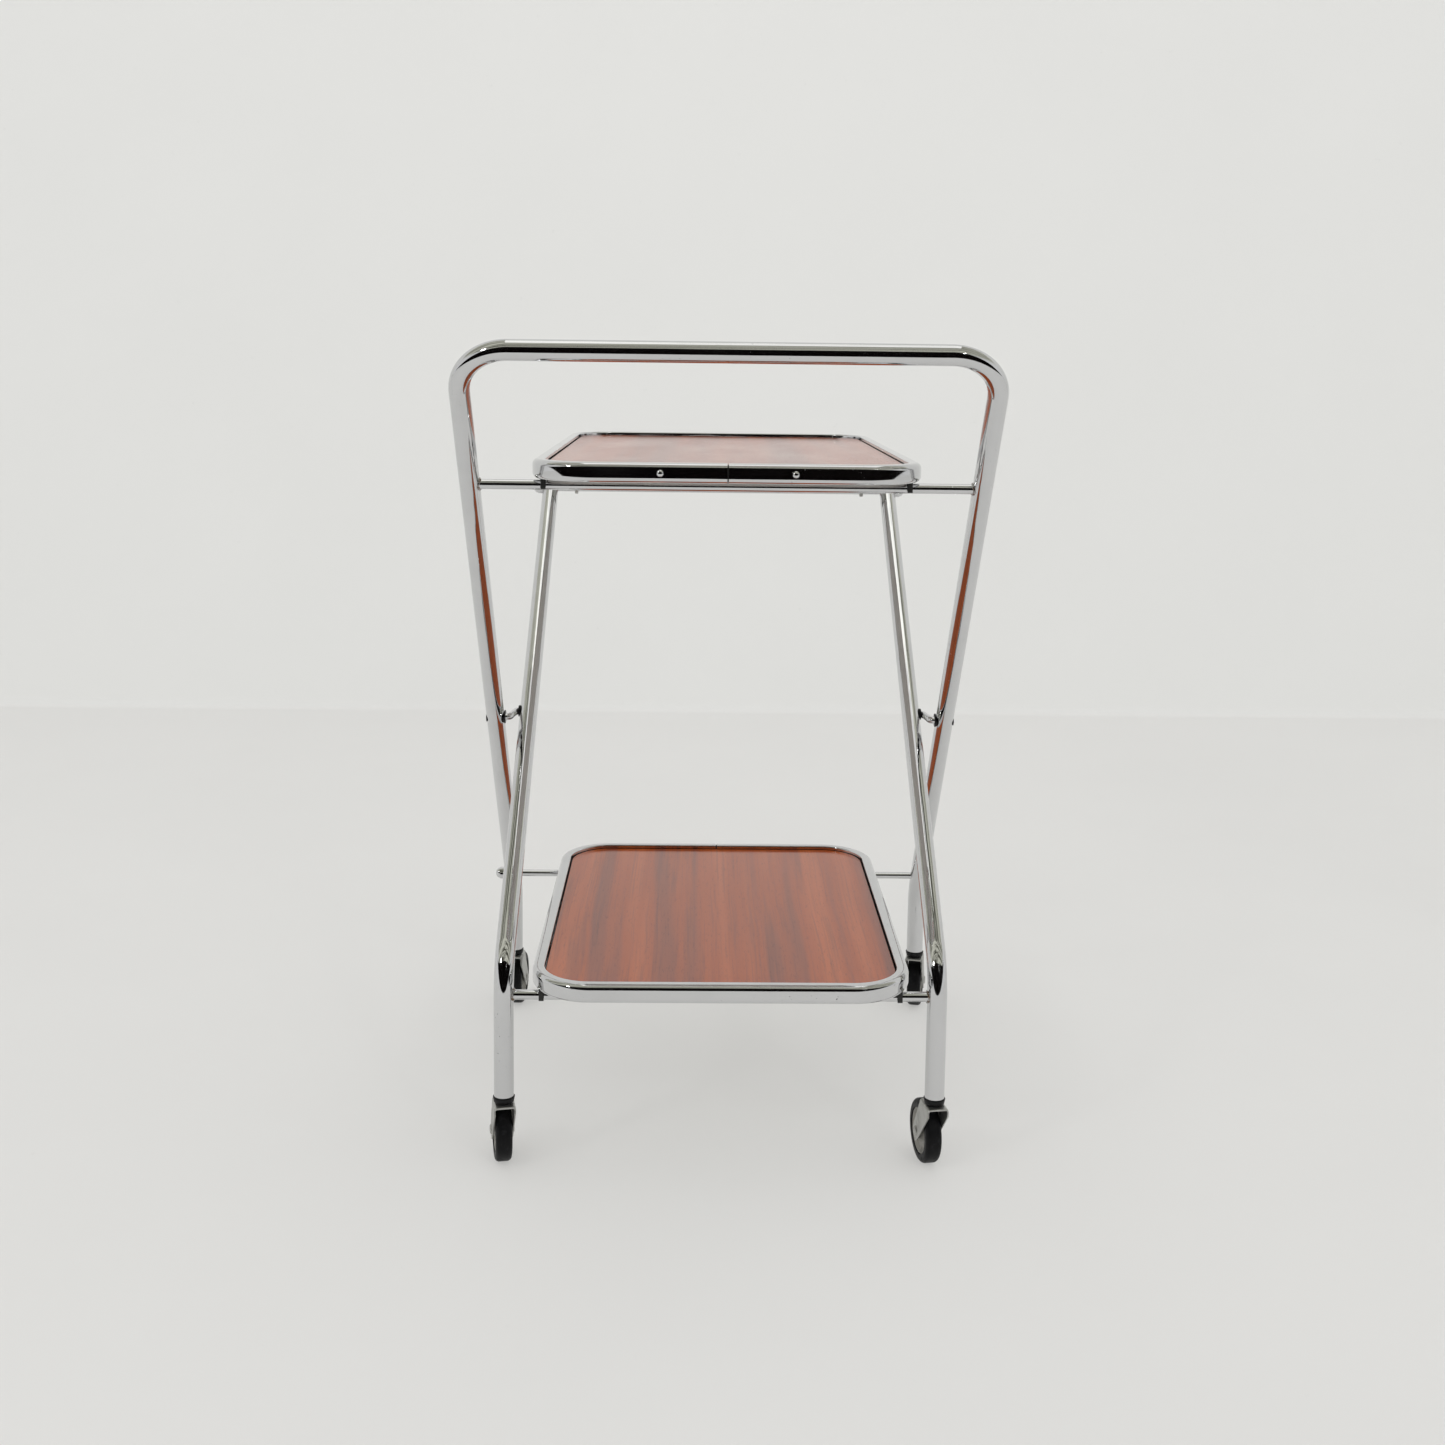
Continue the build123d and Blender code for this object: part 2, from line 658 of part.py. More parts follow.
def castor_hub(side_view):
    """The wheel's moulded centre: boss, thin web and outer band."""
    web_r = (HUB_D / 2 + HUB_BOSS_D / 2) / 2
    recess_w = HUB_D / 2 - HUB_BOSS_D / 2 - (HUB_W - HUB_WEB_T) / 2
    with BuildPart() as hub:
        with BuildSketch(side_view):
            with Locations((TRAIL, axle_z)):
                Circle(HUB_D / 2)
                Circle(AXLE_D / 2 + RUNNING_FIT * 2, mode=Mode.SUBTRACT)
        extrude(amount=HUB_W / 2, both=True)
        for side in (-1, 1):
            with BuildSketch(side_view.offset(side * HUB_WEB_T / 2)):
                with Locations((TRAIL, axle_z)):
                    Circle(web_r + recess_w / 2)
                    Circle(web_r - recess_w / 2, mode=Mode.SUBTRACT)
            extrude(amount=side * (HUB_W - HUB_WEB_T) / 2, mode=Mode.SUBTRACT)
    return hub


def castor_tyre(side_view):
    """The solid tyre, rounded at its shoulders."""
    with BuildPart() as tyre:
        with BuildSketch(side_view):
            with Locations((TRAIL, axle_z)):
                Circle(WHEEL_D / 2)
        extrude(amount=WHEEL_W / 2, both=True)
        fillet(edges().filter_by(GeomType.CIRCLE), TYRE_ROUND)
        with BuildSketch(side_view):
            with Locations((TRAIL, axle_z)):
                Circle(HUB_D / 2 + RUNNING_FIT)
        extrude(amount=WHEEL_W, both=True, mode=Mode.SUBTRACT)
    return tyre


castors = {
    "near_left": (-inner_x, near_foot_y, NEAR_LEFT_SWIVEL),
    "near_right": (inner_x, near_foot_y, NEAR_RIGHT_SWIVEL),
    "far_left": (-outer_x, far_foot_y, FAR_LEFT_SWIVEL),
    "far_right": (outer_x, far_foot_y, FAR_RIGHT_SWIVEL),
}
for name, (x, y, swivel) in castors.items():
    # the wheel trails along the base plane's Y, and its axle lies along X
    base = Plane(origin=(x, y, 0)).rotated((0, 0, swivel))
    side_view = Plane(origin=base.origin, x_dir=base.y_dir, z_dir=base.x_dir)
    write(castor_socket(x, y), f"{name}_castor_socket")
    write(castor_fork(base, side_view), f"{name}_castor_fork")
    write(castor_stem(base), f"{name}_castor_stem")
    write(castor_axle(side_view), f"{name}_castor_axle")
    write(castor_hub(side_view), f"{name}_castor_hub")
    write(castor_tyre(side_view), f"{name}_castor_tyre")
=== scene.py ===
# Folding serving trolley: smooth chromed tube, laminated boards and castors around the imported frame.
# Metres, +Z up, the handle on the -Y side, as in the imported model.
import json
from functools import wraps
from math import cos, pi, radians, sin, tan
from types import SimpleNamespace

import bmesh
import bpy
import numpy as np
from bpy.props import FloatProperty, FloatVectorProperty, IntProperty, PointerProperty
from mathutils import Matrix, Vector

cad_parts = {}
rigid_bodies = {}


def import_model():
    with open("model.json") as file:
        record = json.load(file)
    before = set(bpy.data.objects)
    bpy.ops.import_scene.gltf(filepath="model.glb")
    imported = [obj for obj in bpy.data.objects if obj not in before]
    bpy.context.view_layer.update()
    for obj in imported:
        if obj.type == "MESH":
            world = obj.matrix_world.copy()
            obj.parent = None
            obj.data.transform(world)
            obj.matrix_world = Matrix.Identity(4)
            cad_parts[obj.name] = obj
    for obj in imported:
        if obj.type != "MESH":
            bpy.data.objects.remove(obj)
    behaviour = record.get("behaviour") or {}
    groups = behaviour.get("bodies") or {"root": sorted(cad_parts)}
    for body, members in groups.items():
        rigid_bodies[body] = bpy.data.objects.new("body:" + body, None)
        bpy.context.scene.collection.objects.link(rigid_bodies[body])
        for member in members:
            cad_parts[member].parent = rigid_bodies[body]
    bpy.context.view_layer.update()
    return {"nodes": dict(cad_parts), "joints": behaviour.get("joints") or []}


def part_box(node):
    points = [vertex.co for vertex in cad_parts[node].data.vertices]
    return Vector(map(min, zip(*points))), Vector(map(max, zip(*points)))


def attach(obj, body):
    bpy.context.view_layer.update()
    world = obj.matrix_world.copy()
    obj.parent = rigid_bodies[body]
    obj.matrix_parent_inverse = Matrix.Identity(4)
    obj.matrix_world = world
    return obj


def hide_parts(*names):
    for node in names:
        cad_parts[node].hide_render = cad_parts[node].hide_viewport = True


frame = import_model()
joint_of = {joint["name"]: joint for joint in frame["joints"]}

bl_info = {
    "name": "Folding serving trolley",
    "version": (1, 0, 0),
    "blender": (4, 5, 0),
    "location": "3D View > Sidebar > Trolley",
    "description": "Builds a folding serving trolley with chromed frames, laminated trays and castors",
    "category": "Add Mesh",
}

SIDES = {"left": -1, "right": 1}
X_AXIS, Y_AXIS, Z_AXIS = np.eye(3)
MERGE_DISTANCE = 1e-7
EYE_CLEARANCE = 0.00005

# Divisions round the pieces that are not frame tubes
NUT_STEPS, WELD_STEPS, PIN_STEPS, BUSH_STEPS = 72, 56, 40, 48
BOARD_STEPS, HANGER_STEPS, FOOT_STEPS, RIVET_STEPS = 160, 96, 64, 40
WHEEL_STEPS, FORK_STEPS, AXLE_STEPS, SOCKET_STEPS = 96, 96, 48, 64


def length(name, default, description):
    """A size in metres."""
    return FloatProperty(name=name, default=default, description=description, unit="LENGTH", precision=4)


def angle(name, degrees, description):
    """An angle, given in degrees and kept in radians."""
    return FloatProperty(name=name, default=radians(degrees), description=description, subtype="ANGLE")


def colour(name, default, description):
    """A linear colour."""
    return FloatVectorProperty(
        name=name, default=default, description=description, subtype="COLOR", size=3, min=0, max=1
    )


# Sizes and colours that a user may change
class FrameSizes(bpy.types.PropertyGroup):
    """Sizes of the two crossed frames."""

    tube_d: length("Tube", 0.020, "Diameter of the frame tube")
    outer_spacing: length("Outer spacing", 0.502, "Between the outer legs' centrelines")
    leg_gap: length("Leg gap", 0.014, "Between an outer and an inner leg")
    outer_lean: angle("Outer lean", 36.0, "Lean of the outer legs from upright")
    inner_lean: angle("Inner lean", 50.8, "Lean of the inner legs from upright")
    pivot_crank: length("Pivot crank", 0.030, "From the outer legs' line back to the inner legs'")
    handle_height: length("Handle height", 0.824, "Height of the handle's centreline")
    handle_corner_r: length("Handle corner", 0.048, "Radius of the handle's bends")
    inner_top_height: length("Inner top", 0.660, "Height of the inner legs' ends")
    outer_bend_height: length("Far foot bend", 0.159, "Height where the outer legs turn upright")
    inner_bend_height: length("Near foot bend", 0.210, "Height where the inner legs turn upright")
    foot_bend_r: length("Foot bend", 0.064, "Radius of the bends above the feet")
    tube_end_height: length("Tube end", 0.080, "Height of the legs' lower ends")
    cap_t: length("End cap", 0.003, "Thickness of an inner leg's end cap")
    cap_round: length("End cap round", 0.002, "Radius of an end cap's edge")
    cap_plug_l: length("End cap plug", 0.004, "Length of an end cap's plug")
    crossbar_d: length("Crossbar", 0.010, "Diameter of the welded crossbars")
    rod_d: length("Hinge rod", 0.008, "Diameter of the rods that the trays swing on")
    bar_bevel: length("Bar bevel", 0.0005, "Bevel at the ends of crossbars and rods")
    nut_flats: length("Nut width", 0.013, "Across the flats of the cap nuts")
    nut_hex_h: length("Nut height", 0.006, "Height of a cap nut's hexagon")
    nut_dome_h: length("Nut dome", 0.005, "Height of a cap nut's dome")
    pin_bend_r: length("Pin bend", 0.005, "Radius of the bends in a pivot pin")
    pin_gap: length("Pin gap", 0.0003, "From a bush to the bend in its pin")
    bush_d: length("Bush", 0.015, "Diameter of a pivot bush's flange")
    bush_t: length("Bush flange", 0.0012, "Thickness of a pivot bush's flange")
    sleeve_d: length("Bush sleeve", 0.011, "Diameter of a bush in its leg")
    collar_d: length("Collar", 0.013, "Diameter of the collar round a pin")
    collar_t: length("Collar thickness", 0.0015, "Thickness of the collar round a pin")
    weld_r: length("Weld", 0.0014, "Radius of the bead round a crossbar's end")


class TraySizes(bpy.types.PropertyGroup):
    """Sizes of the two trays."""

    corner_r: length("Corner", 0.060, "Outer radius of a tray's corners")
    rim_w: length("Rim width", 0.012, "Width of the rim")
    rim_h: length("Rim height", 0.019, "Height of the rim")
    outer_round: length("Outer round", 0.0055, "Radius of the rim's outer edges")
    inner_round: length("Inner round", 0.0016, "Radius of the rim's inner edges")
    seam: length("Seam", 0.0012, "Gap where the rim's ends meet")
    board_t: length("Board", 0.005, "Thickness of the board")
    board_gap: length("Board gap", 0.0003, "Gap round the board")
    board_edge: length("Board edge", 0.0013, "Width of the board's bevelled edge")
    board_inset: length("Board inset", 0.0045, "From the rim's top down to the board")
    rivet_spacing: length("Rivet spacing", 0.128, "Between the two rivets of a rim")
    rivet_d: length("Rivet head", 0.0068, "Diameter of a rivet's head")
    rivet_h: length("Rivet height", 0.0026, "Height of a rivet's head")
    bracket_t: length("Bracket", 0.002, "Thickness of the hangers' feet and the catches")
    bracket_bevel: length("Bracket bevel", 0.0004, "Bevel of the hangers' feet and the catches")
    lug_t: length("Hanger", 0.004, "Thickness of a hanger's plate")
    lug_bevel: length("Hanger bevel", 0.0005, "Bevel of a hanger's plate")
    lug_eye_d: length("Hanger eye", 0.014, "Diameter of a hanger round its rod")
    lug_foot_l: length("Hanger foot", 0.034, "Length of a hanger's foot")
    lug_foot_r: length("Hanger foot corner", 0.0016, "Radius of the foot's corners")
    catch_w: length("Catch", 0.005, "Width of a catch")
    catch_inset: length("Catch inset", 0.0105, "From the rim's outer side to a catch's middle")


class CastorSizes(bpy.types.PropertyGroup):
    """Sizes of a castor."""

    wheel_d: length("Wheel", 0.064, "Diameter over the tyre")
    wheel_w: length("Tyre width", 0.017, "Width of the tyre")
    tyre_round: length("Tyre round", 0.0045, "Radius of the tyre's shoulders")
    tyre_lip: length("Tyre lip", 0.0008, "Height of the tyre's inner lip")
    hub_d: length("Wheel centre", 0.046, "Diameter of the wheel's centre")
    hub_w: length("Wheel centre width", 0.015, "Width of the centre at its band and boss")
    hub_web_t: length("Web", 0.009, "Thickness of the wheel's web")
    hub_edge: length("Wheel centre edge", 0.0006, "Bevel of the centre's edges")
    band_t: length("Band", 0.0016, "Thickness of the centre's outer band")
    band_slope: length("Band slope", 0.0026, "Width of the slope from band to web")
    boss_d: length("Boss", 0.016, "Diameter of the wheel's boss")
    boss_slope: length("Boss slope", 0.0028, "Width of the slope from boss to web")
    axle_d: length("Axle", 0.006, "Diameter of the axle rivet")
    axle_head_d: length("Axle head", 0.010, "Diameter of the axle rivet's heads")
    axle_head_h: length("Axle head height", 0.0016, "Height of the axle rivet's heads")
    fork_inner_w: length("Fork opening", 0.0186, "Between the fork's side plates")
    plate_t: length("Fork plate", 0.0016, "Thickness of the fork's side plates")
    plate_r: length("Fork plate corner", 0.0007, "Radius of the side plates' upper corners")
    plate_bevel: length("Fork bevel", 0.0003, "Bevel of the fork's edges")
    hood_t: length("Fork top", 0.002, "Thickness of the fork's top")
    hood_l: length("Fork top length", 0.0285, "Length of the fork's top")
    hood_bend: length("Fork bend", 0.0030, "Outer radius of the bends beside the top")
    shoulder_h: length("Fork shoulder", 0.009, "Height of the fork's upright front edge")
    eye_d: length("Fork eye", 0.018, "Diameter of a side plate round the axle")
    tip_drop: length("Fork tip", 0.009, "From the axle down to the side plate's tip")
    tip_r: length("Fork tip radius", 0.002, "Radius of the side plate's tip")
    swivel_gap: length("Swivel gap", 0.0004, "Between the socket's collar and the fork")
    collar_d: length("Socket collar", 0.022, "Diameter of the collar under a leg")
    collar_h: length("Socket collar height", 0.007, "Height of the collar under a leg")
    collar_round: length("Socket round", 0.0016, "Radius of the collar's lower edge")
    stem_bore_d: length("Stem bore", 0.0081, "Diameter of the socket's bore")
    plug_end_t: length("Plug end", 0.008, "Thickness of the plug above its bore")


class TrolleyLooks(bpy.types.PropertyGroup):
    """Colours of the finishes, and how finely tubes are divided."""

    chrome: colour("Chrome", (0.655, 0.658, 0.665), "Polished chrome plate")
    weld: colour("Weld", (0.30, 0.20, 0.13), "Heat tint beside a weld")
    steel: colour("Plated steel", (0.46, 0.46, 0.44), "Dull zinc plate")
    wood_dark: colour("Dark grain", (0.190, 0.058, 0.040), "Dark stripes of the laminate")
    wood_mid: colour("Wood", (0.400, 0.082, 0.020), "Middle tone of the laminate")
    wood_light: colour("Light grain", (0.500, 0.118, 0.032), "Light stripes of the laminate")
    # The board's edge colour is painted shade: near-black for the gap between the board and the rim.
    edge: colour("Board edge", (0.020, 0.011, 0.008), "The board's edge")
    backing: colour("Backing", (0.62, 0.61, 0.58), "The board's underside")
    plastic: colour("Black plastic", (0.004, 0.004, 0.0045), "Sockets, caps and bushes")
    rubber: colour("Rubber", (0.005, 0.005, 0.0055), "Tyres")
    wheel: colour("Wheel centre", (0.25, 0.24, 0.215), "Moulded wheel centres")
    wall: colour("Wall", (0.79, 0.79, 0.77), "Backdrop")
    floor: colour("Floor", (0.80, 0.795, 0.775), "Floor")
    round_steps: IntProperty(name="Round steps", default=64, description="Divisions round a tube", min=12)


class TrolleySettings(bpy.types.PropertyGroup):
    """Everything that the trolley's operators read."""

    frames: PointerProperty(type=FrameSizes)
    trays: PointerProperty(type=TraySizes)
    castors: PointerProperty(type=CastorSizes)
    looks: PointerProperty(type=TrolleyLooks)


def settings():
    """The scene's trolley settings."""
    return bpy.context.scene.trolley


# Shapes as arrays of points
def unit(v):
    """Vectors divided by their own lengths."""
    v = np.asarray(v, float)
    return v / np.linalg.norm(v, axis=-1, keepdims=True)


def round_angles(steps):
    """Equal steps of angle once round, without the last, which would repeat the first."""
    return np.linspace(0, 2 * pi, steps, endpoint=False)


def circle(radius, steps):
    """A closed ring in the plane: radius times (cos a, sin a), a running round once."""
    a = round_angles(steps)
    return radius * np.stack([np.cos(a), np.sin(a)], -1)


def arc(centre, radius, start, end, steps):
    """Points of a circular arc in the plane, from one angle to another."""
    a = np.linspace(start, end, steps)
    return np.asarray(centre) + radius * np.stack([np.cos(a), np.sin(a)], -1)


def bent_route(corners, radii, turn_step=radians(2.5)):
    """Straight runs joined by arcs. At a corner that turns by t, the arc of radius r starts r tan(t/2)
    before it, and its points are the start turned about the centre by equal small angles."""
    corners = np.asarray(corners, float)
    points = [corners[:1]]
    for before, corner, after, r in zip(corners, corners[1:], corners[2:], radii):
        into, out = unit(corner - before), unit(after - corner)
        turn = np.arccos(np.clip(into @ out, -1, 1))
        start = corner - into * r * tan(turn / 2)
        inward = unit(out - into * (into @ out))
        centre = start + inward * r
        a = np.linspace(0, turn, max(3, int(turn / turn_step)))[:, None]
        points.append(centre - inward * r * np.cos(a) + into * r * np.sin(a))
    return np.vstack(points + [corners[-1:]])


def carried(path, section, reference):
    """A flat section carried along a path. At each point the section's first axis is the tangent crossed
    with the reference direction, and its second axis completes the right angle."""
    tangent = unit(np.gradient(path, axis=0))
    tangent[0], tangent[-1] = unit(path[1] - path[0]), unit(path[-1] - path[-2])
    first = unit(np.cross(tangent, reference))
    second = np.cross(first, tangent)
    a, b = section[:, 0, None], section[:, 1, None]
    return path[:, None] + first[:, None] * a + second[:, None] * b


def turned(profile, centre, axis, steps):
    """A profile of (radius, distance along) turned about an axis: each point runs round a circle."""
    axis = unit(axis)
    side = unit(np.cross(axis, X_AXIS if abs(axis[0]) < 0.9 else Y_AXIS))
    other = np.cross(axis, side)
    ring = circle(1, steps)
    radius, along = np.asarray(profile, float).T
    spokes = ring[:, 0, None] * side + ring[:, 1, None] * other
    return np.asarray(centre) + radius[:, None, None] * spokes + along[:, None, None] * axis


def taut_outline(discs, shrink, steps):
    """The line of a string pulled tight round discs (x, y, radius). In each direction the disc that
    reaches furthest gives the point: its centre plus its radius, less shrink, in that direction."""
    discs = np.asarray(discs, float)
    n = circle(1, steps)
    furthest = np.argmax(discs[:, :2] @ n.T + discs[:, 2, None], axis=0)
    return discs[furthest, :2] + (discs[furthest, 2, None] - shrink) * n


def corner_discs(half_x, half_y, r):
    """Discs of radius r in the four corners of a rectangle about zero."""
    return [(sx * (half_x - r), sy * (half_y - r), r) for sx in (-1, 1) for sy in (-1, 1)]


def plate(discs, centre, u, v, thickness, bevel, steps, eye=None):
    """A flat plate whose outline is pulled tight round discs, with bevelled edges. Its section goes from
    the middle, or from the edge of a round eye, out over one face, round the rim and back."""
    u, v = unit(u), unit(v)
    w = np.cross(u, v)
    half = thickness / 2
    outer = [(taut_outline(discs, s, steps), h) for s, h in (
        (bevel, -half), (0, -half + bevel), (0, half - bevel), (bevel, half),
    )]
    if eye:
        eye_centre, eye_r = np.asarray(eye[:2], float), eye[2]
        inner = [(eye_centre + circle(r, steps), h) for r, h in (
            (eye_r, -half + bevel), (eye_r + bevel, -half), (eye_r + bevel, half), (eye_r, half - bevel),
        )]
        rings = inner[:2] + outer + inner[2:]
    else:
        middle = np.asarray(discs, float)[:, :2].mean(0) + np.zeros((steps, 2))
        rings = [(middle, -half)] + outer + [(middle, half)]
    flat = np.stack([ring for ring, _ in rings])
    height = np.array([h for _, h in rings])[:, None, None]
    return np.asarray(centre) + flat[..., :1] * u + flat[..., 1:] * v + height * w


def rounded_section(width, height, radii, steps):
    """A rectangle about zero, its corners rounded: right-top, left-top, left-bottom, right-bottom."""
    x, y = width / 2, height / 2
    corners = []
    for k, (sx, sy) in enumerate(((1, 1), (-1, 1), (-1, -1), (1, -1))):
        r = radii[k]
        corners.append(arc((sx * (x - r), sy * (y - r)), r, k * pi / 2, (k + 1) * pi / 2, steps))
    return np.vstack(corners)


# Meshes
def grid_faces(rows, columns, first, round_rows, round_columns):
    """Corners of the four-sided faces of a grid of points, as whole arrays."""
    i = np.arange(rows if round_rows else rows - 1)[:, None]
    j = np.arange(columns if round_columns else columns - 1)[None]
    i2, j2 = (i + 1) % rows, (j + 1) % columns
    a, b, c, d = i * columns + j, i2 * columns + j, i2 * columns + j2, i * columns + j2
    return first + np.stack(np.broadcast_arrays(a, b, c, d), -1).reshape(-1, 4)


class Sheet:
    """A grid of points that becomes part of a mesh. Its columns run round; its rows may too."""

    def __init__(self, points, round_rows=False, ends=True, material=0):
        self.points, self.round_rows = np.asarray(points, float), round_rows
        self.ends, self.material = ends and not round_rows, material

    def faces(self, first):
        """Its faces, when its points are numbered from first: the grid's, and a cap at each open end."""
        rows, columns = self.points.shape[:2]
        found = grid_faces(rows, columns, first, self.round_rows, True).tolist()
        if self.ends:
            ring = np.arange(columns)
            found += [(first + ring[::-1]).tolist(), (first + (rows - 1) * columns + ring).tolist()]
        return found


def link_object(name, data):
    """A new object with the given data, linked to the scene."""
    made = bpy.data.objects.new(name, data)
    bpy.context.scene.collection.objects.link(made)
    return made


def mesh_object(name, points, faces, kinds, finishes):
    """A smooth mesh object, with one of its finishes for each face."""
    mesh = bpy.data.meshes.new(name)
    mesh.from_pydata(points.reshape(-1, 3).tolist(), [], faces)
    mesh.polygons.foreach_set("material_index", kinds)
    mesh.shade_smooth()
    for finish in finishes:
        mesh.materials.append(finish)
    return link_object(name, mesh)


def make_piece(name, body, sheets, finishes, stands_for=(), sharp=radians(32)):
    """One mesh object from several sheets: doubles merged, faces outwards, smooth up to an angle."""
    points, faces, kinds = [], [], []
    first = 0
    for sheet in sheets:
        made = sheet.faces(first)
        points.append(sheet.points.reshape(-1, 3))
        faces += made
        kinds += [sheet.material] * len(made)
        first += points[-1].shape[0]
    piece = mesh_object(name, np.vstack(points), faces, kinds, finishes)
    edit = bmesh.new()
    edit.from_mesh(piece.data)
    bmesh.ops.remove_doubles(edit, verts=edit.verts, dist=MERGE_DISTANCE)
    bmesh.ops.recalc_face_normals(edit, faces=edit.faces)
    edit.to_mesh(piece.data)
    edit.free()
    piece.data.set_sharp_from_angle(angle=sharp)
    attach(piece, body)
    if stands_for:
        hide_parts(*stands_for)


# Shader maths
class Wire:
    """A shader socket that Python sums can use: each operator adds a Math node."""

    def __init__(self, paint, socket):
        self.paint, self.socket = paint, socket

    def maths(self, operation, first, second):
        """A Math node on two values, wires or numbers."""
        return self.paint.node("ShaderNodeMath", {"operation": operation}, first, second)

    def __add__(self, other):
        return self.maths("ADD", self, other)

    def __mul__(self, other):
        return self.maths("MULTIPLY", self, other)

    def __sub__(self, other):
        return self.maths("SUBTRACT", self, other)

    def __rsub__(self, other):
        return self.maths("SUBTRACT", other, self)

    def __truediv__(self, other):
        return self.maths("DIVIDE", self, other)

    def __rtruediv__(self, other):
        return self.maths("DIVIDE", other, self)

    __radd__, __rmul__ = __add__, __mul__

    def smooth(self, low, high):
        """0 below low, 1 above high and an S curve between."""
        limits = {"Value": self, "From Min": low, "From Max": high}
        return self.paint.node("ShaderNodeMapRange", {"interpolation_type": "SMOOTHSTEP"}, limits)


class Paint:
    """A node tree being wired, for a material or the world."""

    def __init__(self, tree):
        self.tree = tree
        tree.nodes.clear()

    def node(self, kind, choices=None, *values, output=0):
        """Adds a node: its choices first, then its inputs by place, or by name in a dict. Gives back one of
        the node's outputs, if it has any."""
        made = self.tree.nodes.new(kind)
        for key, value in (choices or {}).items():
            setattr(made, key, value)
        by_name = values and isinstance(values[0], dict)
        for key, value in values[0].items() if by_name else enumerate(values):
            if isinstance(value, Wire):
                self.tree.links.new(value.socket, made.inputs[key])
            elif value is not None:
                made.inputs[key].default_value = value
        return Wire(self, made.outputs[output]) if made.outputs else None

    def place(self, scale=(1, 1, 1)):
        """Object coordinates, stretched."""
        spot = self.node("ShaderNodeTexCoord", output=3)
        return self.node("ShaderNodeMapping", {"vector_type": "POINT"}, {"Vector": spot, "Scale": scale})

    def noise(self, where, scale, detail, roughness=0.55):
        """Cloudy noise, about 0.5."""
        values = {"Vector": where, "Scale": scale, "Detail": detail, "Roughness": roughness}
        return self.node("ShaderNodeTexNoise", None, values)

    def blend(self, share, first, second):
        """A mix of two colours."""
        choices = {"data_type": "RGBA"}
        return self.node("ShaderNodeMix", choices, {0: share, 6: first, 7: second}, output=2)

    def split(self, vector):
        """A vector's three numbers."""
        made = self.node("ShaderNodeSeparateXYZ", None, vector)
        return [Wire(self, made.socket.node.outputs[k]) for k in range(3)]

    def bump(self, height, distance):
        """A normal from a height that runs from 0 to 1, times a distance in metres."""
        values = {"Height": height, "Distance": distance, "Strength": 1.0}
        return self.node("ShaderNodeBump", None, values)


def new_material(name):
    """A new material, and the paint that wires it."""
    made = bpy.data.materials.new(name)
    made.use_nodes = True
    return made, Paint(made.node_tree)


def rgba(c, gain=1.0):
    """A colour with full alpha, made lighter or darker."""
    return (c[0] * gain, c[1] * gain, c[2] * gain, 1.0)


def finish_named(name, constants=None):
    """Turns a function that works out what varies over a surface into one that gives its material. That
    function returns the shader's varying inputs by name, and its material is made once."""

    def turn(work_out):
        kept = []

        @wraps(work_out)
        def get():
            if not kept:
                made, paint = new_material(name)
                inputs = {**(constants or {}), **work_out(paint, settings().looks)}
                shader = paint.node("ShaderNodeBsdfPrincipled", None, inputs)
                paint.node("ShaderNodeOutputMaterial", None, {"Surface": shader})
                kept.append(made)
            return kept[0]

        return get

    return turn


@finish_named("chrome_plate", {"Metallic": 1.0})
def chrome(paint, looks):
    """Polished plate: a faint waviness, hazy handling marks and a few pits."""
    where = paint.place()
    haze = paint.noise(where, 14.0, 4.0).smooth(0.42, 0.72)
    swirl = paint.noise(paint.place((1, 1, 0.12)), 900.0, 2.0)
    pits = paint.noise(where, 420.0, 1.0).smooth(0.735, 0.775)
    dull = pits * paint.noise(where, 9.0, 1.0).smooth(0.5, 0.62)
    return {
        "Base Color": paint.blend(dull * 0.8 + haze * 0.07, rgba(looks.chrome), rgba(looks.chrome, 0.35)),
        "Roughness": 0.035 + haze * 0.05 + swirl * 0.025 + dull * 0.35,
        "Normal": paint.bump(paint.noise(where, 22.0, 1.0) + swirl * 0.004, 0.0004),
    }


@finish_named("weld_bead", {"Metallic": 1.0})
def weld_metal(paint, looks):
    """The bead and the plate beside it, coloured by heat."""
    where = paint.place()
    patch = paint.noise(where, 260.0, 3.0).smooth(0.35, 0.65)
    return {
        "Base Color": paint.blend(patch, rgba(looks.weld, 0.55), rgba(looks.chrome, 0.75)),
        "Roughness": 0.22 + patch * 0.2,
        "Normal": paint.bump(paint.noise(where, 700.0, 2.0), 0.0003),
    }


@finish_named("plated_steel", {"Metallic": 1.0})
def plated_steel(paint, looks):
    """Dull zinc plate with faint rolling marks, and grime in the low places."""
    where = paint.place()
    spangle = paint.noise(where, 130.0, 4.0)
    grime = paint.noise(where, 38.0, 3.0).smooth(0.50, 0.72)
    return {
        "Base Color": paint.blend(grime * 0.6, rgba(looks.steel), rgba(looks.steel, 0.35)),
        "Roughness": 0.30 + spangle * 0.22 + grime * 0.15,
        "Normal": paint.bump(paint.noise(where, 1500.0, 2.0) * 0.4 + spangle * 0.6, 0.00012),
    }


@finish_named("oxidised_steel", {"Specular IOR Level": 0.2})
def shadow_steel(paint, looks):
    """Near-black steel, a darkened copy of the plated steel: painted shade for the rim's splice in the
    recess inside the rim, and for the catches in the shadow under the rim's corners.
    """
    patch = paint.noise(paint.place(), 120.0, 3.0)
    return {
        "Base Color": paint.blend(patch, rgba(looks.steel, 0.02), rgba(looks.steel, 0.08)),
        "Roughness": 0.5 + patch * 0.2,
    }


